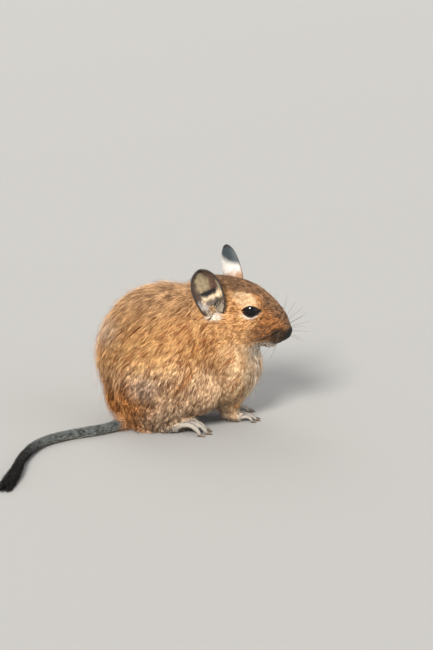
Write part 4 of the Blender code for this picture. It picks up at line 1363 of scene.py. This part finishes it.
# Hairs that stand out: their share of all, their lift, how much they gather and their width against the rest
WILD_SHARE = 0.08
WILD_LIFTS = (1.2, 1.9)
WILD_GATHERS = 0.3
WILD_WIDTH = 0.6

# How soon a tuft rises and how late it gathers, as powers
RISES_SOON = 1.7
GATHERS_LATE = 1.4

# Streaks of light and dark hair: their width in millimetres and how much they are drawn out along the coat
STREAK_WIDTH = 1.15
STREAK_STRETCH = 0.72

# A plan for a coat: its regions and slot, number of tufts, steps of each and seed, how many tufts make a
# clump and how far they gather, how much their ways stray, the share with dark tips, how far tones vary by
# streak and by clump, and the length, rise and width of the hair against the skin's own measures
PLAN = "regions slot number steps seed clump pull stray tick streak fleck length rise width"
Plan = namedtuple("Plan", PLAN)
BODY = ("trunk", "leg")
COATS = {
    "coat_body": Plan(BODY, "flank_fur", 84_000, 2, 1, 7, 0.45, 0.17, 0.35, 0.80, 0.22, 0.95, 1.0, 0.72),
    "coat_guard": Plan(("trunk",), "flank_fur", 4_500, 2, 6, 2, 0.0, 0.22, 0.50, 0.50, 0.30, 1.35, 1.9, 0.42),
    "coat_head": Plan(("head",), "face_fur", 38_000, 2, 2, 6, 0.35, 0.14, 0.32, 0.42, 0.34, 0.95, 1.05, 0.75),
    "coat_feet": Plan(("foot",), "foot_skin", 10_000, 1, 3, 4, 0.10, 0.15, 0.30, 0.40, 0.30, 1.1, 1.4, 0.75),
    "coat_tail": Plan(("tail",), "tail_fur", 10_000, 2, 4, 3, 0.30, 0.14, 0.20, 0.28, 0.34, 1.0, 1.3, 0.75),
}

# Between dark, 0, and light, 1: the tone that all coats vary about, and how far tufts differ from their clump
TONE = 0.58
TUFT_FLECK = 0.14

# How near a root is to the dark hair, how far painted shade darkens roots deep in the coat, how bright dark
# tips are, and how far light tips lighten
ROOT_DARKENS = 0.6
ROOT_PAINTED_SHADE = 0.45
TICK_BRIGHTNESS = 0.35
TIP_LIGHTENS = 0.55

# How deep roots sink in the skin, in millimetres
ROOT_SINK = 0.3

# The bake map's islands: the sharpest bend within one, in degrees, and the gap between them
ISLAND_BEND = 66
ISLAND_GAP = 0.002


def unwrap(skin):
    """Lays the skin's own shape out flat on its bake map, and gives each point its place there."""
    skin.data.uv_layers.new(name="OFBake")
    bpy.ops.object.select_all(action="DESELECT")
    bpy.context.view_layer.objects.active = skin
    skin.select_set(True)
    bpy.ops.object.mode_set(mode="EDIT")
    bpy.ops.mesh.select_all(action="SELECT")
    bpy.ops.uv.smart_project(angle_limit=math.radians(ISLAND_BEND), island_margin=ISLAND_GAP)
    bpy.ops.object.mode_set(mode="OBJECT")
    corners = np.empty(len(skin.data.loops), np.int32)
    skin.data.loops.foreach_get("vertex_index", corners)
    flat = np.empty(len(skin.data.loops) * 2, np.float32)
    skin.data.uv_layers["OFBake"].uv.foreach_get("vector", flat)
    places = np.empty((len(skin.data.vertices), 2))
    places[corners] = flat.reshape(-1, 2)
    return places


def grow(name, coat, tree, places, plan, material):
    """One coat: thin tapered blades that rise out of the skin and lie down along it, in small clumps."""
    steps, count = plan.steps, plan.number
    tufts = Tufts(coat, tree, places, count, coat.crowd * coat.share_of(plan.regions), plan.seed)
    random = tufts.random
    length = tufts.sample(coat.length) * random.uniform(*LENGTHS, count) * plan.length
    path, normals = tufts.follow(length, steps, plan.stray)
    leader = tufts.leaders(plan.clump)
    lift = tufts.sample(coat.depth) * random.uniform(*LIFTS, count)
    lift = lift * random.uniform(*CLUMP_LIFTS, count)[leader] * plan.rise
    wild = random.uniform(size=count) < WILD_SHARE
    lift = np.where(wild, lift * random.uniform(*WILD_LIFTS, count), lift)
    shares = np.linspace(0.0, 1.0, steps + 1)
    rise = (1 - (1 - shares) ** RISES_SOON)[None, :] * (lift + ROOT_SINK)[:, None] - ROOT_SINK
    path = path + normals * rise[:, :, None]
    gathering = plan.pull * np.where(wild, WILD_GATHERS, 1.0)[:, None] * shares[None, :] ** GATHERS_LATE
    path = path + (path[leader] - path) * gathering[:, :, None]
    fine = random.uniform(*WIDTHS, count) * np.where(wild, WILD_WIDTH, 1.0) * plan.width
    widths = (tufts.sample(coat.width) * fine)[:, None] * np.array(TAPERS[steps])
    points, triangles = blades(path, normals, widths)
    lie = unit(tufts.lie.mean(axis=0))
    drawn_out = tufts.roots - lie * dot(tufts.roots, lie) * STREAK_STRETCH
    tone = TONE + plan.streak * noise(drawn_out, STREAK_WIDTH) + random.normal(0.0, plan.fleck, count)[leader]
    tone = np.clip(tone + random.normal(0.0, TUFT_FLECK, count), 0.0, 1.0)[:, None]
    dark, light = tufts.sample(coat.dark), tufts.sample(coat.light)
    body = mix(dark, light, tone)
    ticked = (random.uniform(size=count) < plan.tick)[:, None]
    tip = np.where(ticked, dark * TICK_BRIGHTNESS, mix(body, light, TIP_LIGHTENS))
    # A root takes much of the dark hair's colour, then painted shade darkens it for the shade deep in the
    # coat
    colours = [mix(body, dark, ROOT_DARKENS) * ROOT_PAINTED_SHADE, *[body] * (steps - 1), tip]
    colours = np.stack(colours, axis=1) * random.uniform(*BRIGHTNESS, (count, 1, 1))
    return make_coat(name, points, triangles, colours, tufts.places, material)


# The brush at the tail's end: its hairs' number, roots along the tail, length, spread and width
BRUSH_HAIRS = 3200
BRUSH_ROOTS = (0.58, 0.94)
BRUSH_HAIR_LENGTH = (6.0, 12.5)
BRUSH_SPREAD = (1.0, 3.4)
BRUSH_STEPS = 3
BRUSH_HAIR_WIDTH = 0.28

# How far the tail's line runs on past its end, and the least height of a hair over the floor, in millimetres
BRUSH_RUNS_ON = 12.0
BRUSH_LOWEST = 0.1

# How the brush's hairs crowd to the end, vary in length, spread and width, and how far they close in behind
BRUSH_CROWDS = 0.6
BRUSH_LENGTHS = (0.7, 1.1)
BRUSH_SPREADS = (0.3, 1.1)
BRUSH_WIDTHS = (0.7, 1.2)
BRUSH_CLOSES = 0.5

# The brush's tone and how far it varies, where along the tail it turns black, and how far painted shade
# darkens its roots inside the tail's coat
BRUSH_TONES = (0.35, 0.30)
BRUSH_BLACKENS = (0.74, 0.60)
BRUSH_ROOT_PAINTED_SHADE = 0.6


def make_brush(coat, places, material):
    """The tail's black brush: hairs that run on along the tail's curve and past its end."""
    random = np.random.default_rng(SEED + 9)
    path, _ = tail_path()
    end = path[-1] - path[-2]
    past = path[-1] + np.outer(np.linspace(0.1, 1.0, 10) * BRUSH_RUNS_ON, end / np.linalg.norm(end))
    line = np.vstack([path, past])
    travelled = np.concatenate([[0.0], np.cumsum(np.linalg.norm(np.diff(line, axis=0), axis=1))])
    tail_length = travelled[TAIL_STEPS]
    share = mix(*BRUSH_ROOTS, random.uniform(size=BRUSH_HAIRS) ** BRUSH_CROWDS)
    growth = smoothstep(*BRUSH_ROOTS, share)
    length = mix(*BRUSH_HAIR_LENGTH, growth) * random.uniform(*BRUSH_LENGTHS, BRUSH_HAIRS)
    spread = mix(*BRUSH_SPREAD, growth) * random.uniform(*BRUSH_SPREADS, BRUSH_HAIRS)
    angle = random.uniform(0.0, math.tau, BRUSH_HAIRS)
    radius = tail_radius(share) - COAT_DEPTH["tail"]
    ahead = unit(np.gradient(line, axis=0))
    rows, outs = [], []
    for t in np.linspace(0.0, 1.0, BRUSH_STEPS + 1):
        reach = share * tail_length + t * length
        middle = np.stack([np.interp(reach, travelled, line[:, axis]) for axis in range(3)], axis=1)
        way = np.stack([np.interp(reach, travelled, ahead[:, axis]) for axis in range(3)], axis=1)
        side = unit(np.cross(way, [0.0, 0.0, 1.0]))
        out = side * np.cos(angle)[:, None] + np.array([0.0, 0.0, 1.0]) * np.sin(angle)[:, None]
        rows.append(middle + out * (radius * (1 - BRUSH_CLOSES * t) + spread * t)[:, None])
        outs.append(out)
    points = np.stack(rows, axis=1)
    points[:, :, 2] = np.maximum(points[:, :, 2], BRUSH_LOWEST)
    widths = BRUSH_HAIR_WIDTH * random.uniform(*BRUSH_WIDTHS, (BRUSH_HAIRS, 1))
    widths = widths * np.array(TAPERS[BRUSH_STEPS])
    points, triangles = blades(points, np.stack(outs, axis=1), widths)
    tone = np.clip(random.normal(*BRUSH_TONES, (BRUSH_HAIRS, 1)), 0.0, 1.0)
    grey = smoothstep(*BRUSH_BLACKENS, share)[:, None]
    hair = mix(mix(*TAIL_END, tone), mix(*TAIL_TOP, tone), grey)
    # The roots are darkened by painted shade, for the shade inside the tail's coat
    colours = np.stack([hair * BRUSH_ROOT_PAINTED_SHADE, hair, hair, hair], axis=1)
    nearest = nearest_of(coat.points, np.arange(len(coat.points)), points[:, 0])
    return make_coat("coat_brush", points, triangles, colours, places[nearest], material)


# Short hairs over the ears: how many, how long and wide, and how far they stand up
EAR_HAIRS = 3000
EAR_HAIR_LENGTH = (0.6, 1.9)
EAR_HAIR_WIDTH = 0.13
EAR_HAIR_RISE = 0.30

# Where they grow: the chance of a place anywhere, and what rim, foot and back add to it
EAR_HAIR_CHANCES = (0.35, 1.2, 1.5, 0.5)
EAR_HAIR_FOOT = (0.40, 0.10)

# How far they stray in way and in place, how deep they're rooted and how far they bow, in millimetres
EAR_HAIR_STRAY = 0.25
EAR_HAIR_SHIFT = 0.6
EAR_HAIR_SINK = 0.1
EAR_HAIR_BOW = 0.08
EAR_HAIR_LENGTHS = (0.6, 1.1)
EAR_HAIR_WIDTHS = (0.7, 1.3)
EAR_HAIR_TAPER = (0.9, 0.8)

# Their brightness against the ear's, how far painted shade darkens their roots against the rest, and the pale
# tuft's colour and strength
EAR_HAIR_BRIGHTNESS = (0.8, 1.7)
EAR_HAIR_ROOT_PAINTED_SHADE = 0.7
EAR_TUFT_COLOUR = linear(224, 206, 180)
EAR_TUFT_STRENGTH = 0.7


def make_ear_hair(name, ear, leaf, seed, material):
    """Fine short hairs that lie towards the ear's tip, longer at its rim and at its foot."""
    points, normals, up, across, is_inner, edge = leaf
    random = np.random.default_rng(SEED + seed)
    rim = 1 - smoothstep(0.0, 0.6, edge)
    foot = smoothstep(*EAR_HAIR_FOOT, up)
    anywhere, at_rim, at_foot, behind = EAR_HAIR_CHANCES
    chance = anywhere + at_rim * rim + at_foot * foot + behind * ~is_inner
    chosen = random.choice(len(points), EAR_HAIRS, p=chance / chance.sum())
    sheets = points.reshape(2, EAR_ROWS, EAR_COLUMNS, 3)
    upwards = np.diff(sheets, axis=1)
    upwards = np.concatenate([upwards, upwards[:, -1:]], axis=1).reshape(-1, 3)
    way = unit(upwards)[chosen] + random.normal(0.0, EAR_HAIR_STRAY, (EAR_HAIRS, 3))
    length = mix(*EAR_HAIR_LENGTH, foot[chosen]) * random.uniform(*EAR_HAIR_LENGTHS, EAR_HAIRS)
    here = points[chosen] + random.normal(0.0, EAR_HAIR_STRAY, (EAR_HAIRS, 3)) * EAR_HAIR_SHIFT
    normal = normals[chosen]
    here = here - normal * EAR_HAIR_SINK
    tip = here + unit(way + normal * EAR_HAIR_RISE * (1 + rim[chosen])[:, None]) * length[:, None]
    path = np.stack([here, mix(here, tip, 0.5) + normal * EAR_HAIR_BOW, tip], axis=1)
    widths = EAR_HAIR_WIDTH * random.uniform(*EAR_HAIR_WIDTHS, (EAR_HAIRS, 1)) * np.array(EAR_HAIR_TAPER)
    blade_points, triangles = blades(path, np.stack([normal] * 3, axis=1), widths)
    # Each hair takes the ear's colour at its root, the painted shade inside the cup included
    colours = np.empty(len(points) * 4, np.float32)
    ear.data.color_attributes["markings"].data.foreach_get("color", colours)
    colours = colours.reshape(-1, 4)[chosen, :3]
    pale = EAR_TUFT_STRENGTH * (foot[chosen] * is_inner[chosen])[:, None]
    colours = mix(colours * random.uniform(*EAR_HAIR_BRIGHTNESS, (EAR_HAIRS, 1)), EAR_TUFT_COLOUR, pale)
    # The roots are darkened by painted shade
    colours = np.stack([colours * EAR_HAIR_ROOT_PAINTED_SHADE, colours, colours], axis=1)
    places = np.stack([0.5 + 0.48 * across[chosen], 0.01 + 0.98 * up[chosen]], axis=1)
    return make_coat(f"coat_ear_{name}", blade_points, triangles, colours, places, material)


# The scene

# Half the floor's side in millimetres, its colour and roughness, and the sky's colour and strength
FLOOR_REACH = 60_000.0
FLOOR_COLOUR = (0.315, 0.310, 0.300, 1.0)
FLOOR_ROUGHNESS = 0.9
SKY_COLOUR = (0.88, 0.89, 0.90, 1.0)
SKY_STRENGTH = 0.80


def make_floor():
    corners = FLOOR_REACH * np.array([(-1.0, -1.0, 0.0), (1.0, -1.0, 0.0), (1.0, 1.0, 0.0), (-1.0, 1.0, 0.0)])
    floor = make_mesh("floor", corners, np.array([[0, 1, 2, 3]]))
    material = bpy.data.materials.new("floor")
    material.use_nodes = True
    shader = material.node_tree.nodes["Principled BSDF"]
    shader.inputs["Base Color"].default_value = FLOOR_COLOUR
    shader.inputs["Roughness"].default_value = FLOOR_ROUGHNESS
    floor.data.materials.append(material)


# Lamps: name, direction that it shines from, breadth in degrees, strength and colour
LAMPS = (
    ("key", (-0.50, -0.86, 0.66), 18, 5.4, (1.0, 0.96, 0.90)),
    ("fill", (0.80, -0.60, 0.40), 60, 0.9, (0.93, 0.96, 1.0)),
    ("back", (-0.20, 0.90, 0.80), 40, 0.8, (1.0, 0.97, 0.93)),
)


def make_lamp(name, place, breadth, strength, colour):
    """A broad soft lamp far off at this place, so that the floor is lit evenly."""
    lamp = bpy.data.lights.new(name, "SUN")
    lamp.angle = math.radians(breadth)
    lamp.energy = strength
    lamp.color = colour
    obj = bpy.data.objects.new(name, lamp)
    bpy.context.scene.collection.objects.link(obj)
    obj.rotation_euler = (-Vector(place)).to_track_quat("-Z", "Y").to_euler()


def make_camera():
    """The photograph's camera, placed so that the floor under the trunk falls on its pixel."""
    camera = bpy.data.cameras.new("camera")
    camera.lens = CAMERA_LENS
    camera.sensor_width = CAMERA_SENSOR
    obj = bpy.data.objects.new("camera", camera)
    bpy.context.scene.collection.objects.link(obj)
    cos, sin = math.cos, math.sin
    right = Vector((cos(CAMERA_AZIMUTH), sin(CAMERA_AZIMUTH), 0.0))
    back = Vector(
        (
            sin(CAMERA_AZIMUTH) * cos(CAMERA_ELEVATION),
            -cos(CAMERA_AZIMUTH) * cos(CAMERA_ELEVATION),
            sin(CAMERA_ELEVATION),
        )
    )
    up = back.cross(right)
    distance = PHOTO_MM_PER_PIXEL * PHOTO_SIZE[1] * CAMERA_LENS / CAMERA_SENSOR
    across = (PHOTO_ORIGIN_PIXEL[0] - PHOTO_SIZE[0] / 2) * PHOTO_MM_PER_PIXEL
    above = (PHOTO_SIZE[1] / 2 - PHOTO_ORIGIN_PIXEL[1]) * PHOTO_MM_PER_PIXEL
    place = BODY_ORIGIN + back * distance - right * across - up * above
    turn = Matrix((right, up, back)).transposed().to_4x4()
    obj.matrix_world = Matrix.Translation(place * MM) @ turn
    bpy.context.scene.camera = obj


def make_sky():
    world = bpy.data.worlds.new("sky")
    world.use_nodes = True
    background = world.node_tree.nodes["Background"]
    background.inputs["Color"].default_value = SKY_COLOUR
    background.inputs["Strength"].default_value = SKY_STRENGTH
    bpy.context.scene.world = world


# Materials: roughness from least to most, grain in millimetres, mottling, bumps and how much they reflect
SURFACES = {
    "fur": ((0.55, 0.75), 1.2, 0.10, 0.0, 0.22),
    "hide": ((0.60, 0.85), 0.8, 0.22, 0.5, 0.3),
    "eye_gloss": ((0.03, 0.06), 0.6, 0.25, 0.0, 0.28),
    "lid_skin": ((0.30, 0.45), 0.5, 0.15, 0.3, 0.3),
    "ear_skin": ((0.45, 0.65), 0.9, 0.18, 0.4, 0.5),
    "horn": ((0.30, 0.45), 0.8, 0.20, 0.2, 0.5),
    "whisker_hair": ((0.35, 0.50), 2.0, 0.15, 0.0, 0.5),
}

# The skin's tone between the coat's dark and light hair, and how far painted shade darkens it under the coat
SKIN_TONE = 0.35
SKIN_PAINTED_SHADE = 0.8


def main():
    bpy.context.scene.view_settings.view_transform = "Standard"
    made = {name: surface(name, *settings) for name, settings in SURFACES.items()}
    skin, weights = melt_skin()
    coat = Coat(skin.data, weights)
    points = coat.points - coat.normals * (SKIN_SWELL + coat.depth)[:, None]
    move_points(skin.data, sculpt(points, coat.normals))
    coat = Coat(skin.data, weights)
    # The skin under the coat is darkened by painted shade
    paint(skin, mix(coat.dark, coat.light, SKIN_TONE) * SKIN_PAINTED_SHADE)
    places = unwrap(skin)
    flesh_nodes = [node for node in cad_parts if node.split("_")[0] in (*REGION_OF_NODE, "tail")]
    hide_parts(*flesh_nodes)
    dress(skin, made["hide"])
    tree = BVHTree.FromPolygons(coat.points.tolist(), coat.triangles.tolist())

    for name, plan in COATS.items():
        grow(name, coat, tree, places, plan, made["fur"])
    make_brush(coat, places, made["fur"])

    for side, name in ((-1, "right"), (1, "left")):
        make_eye(side, name, made["eye_gloss"])
        make_lids(side, name, made["lid_skin"])
        ear, leaf = make_ear(side, name, made["ear_skin"])
        make_ear_hair(name, ear, leaf, 20 + side, made["fur"])
    make_claws(made["horn"])
    make_whiskers(made["whisker_hair"])

    make_floor()
    make_camera()
    for lamp in LAMPS:
        make_lamp(*lamp)
    make_sky()


main()
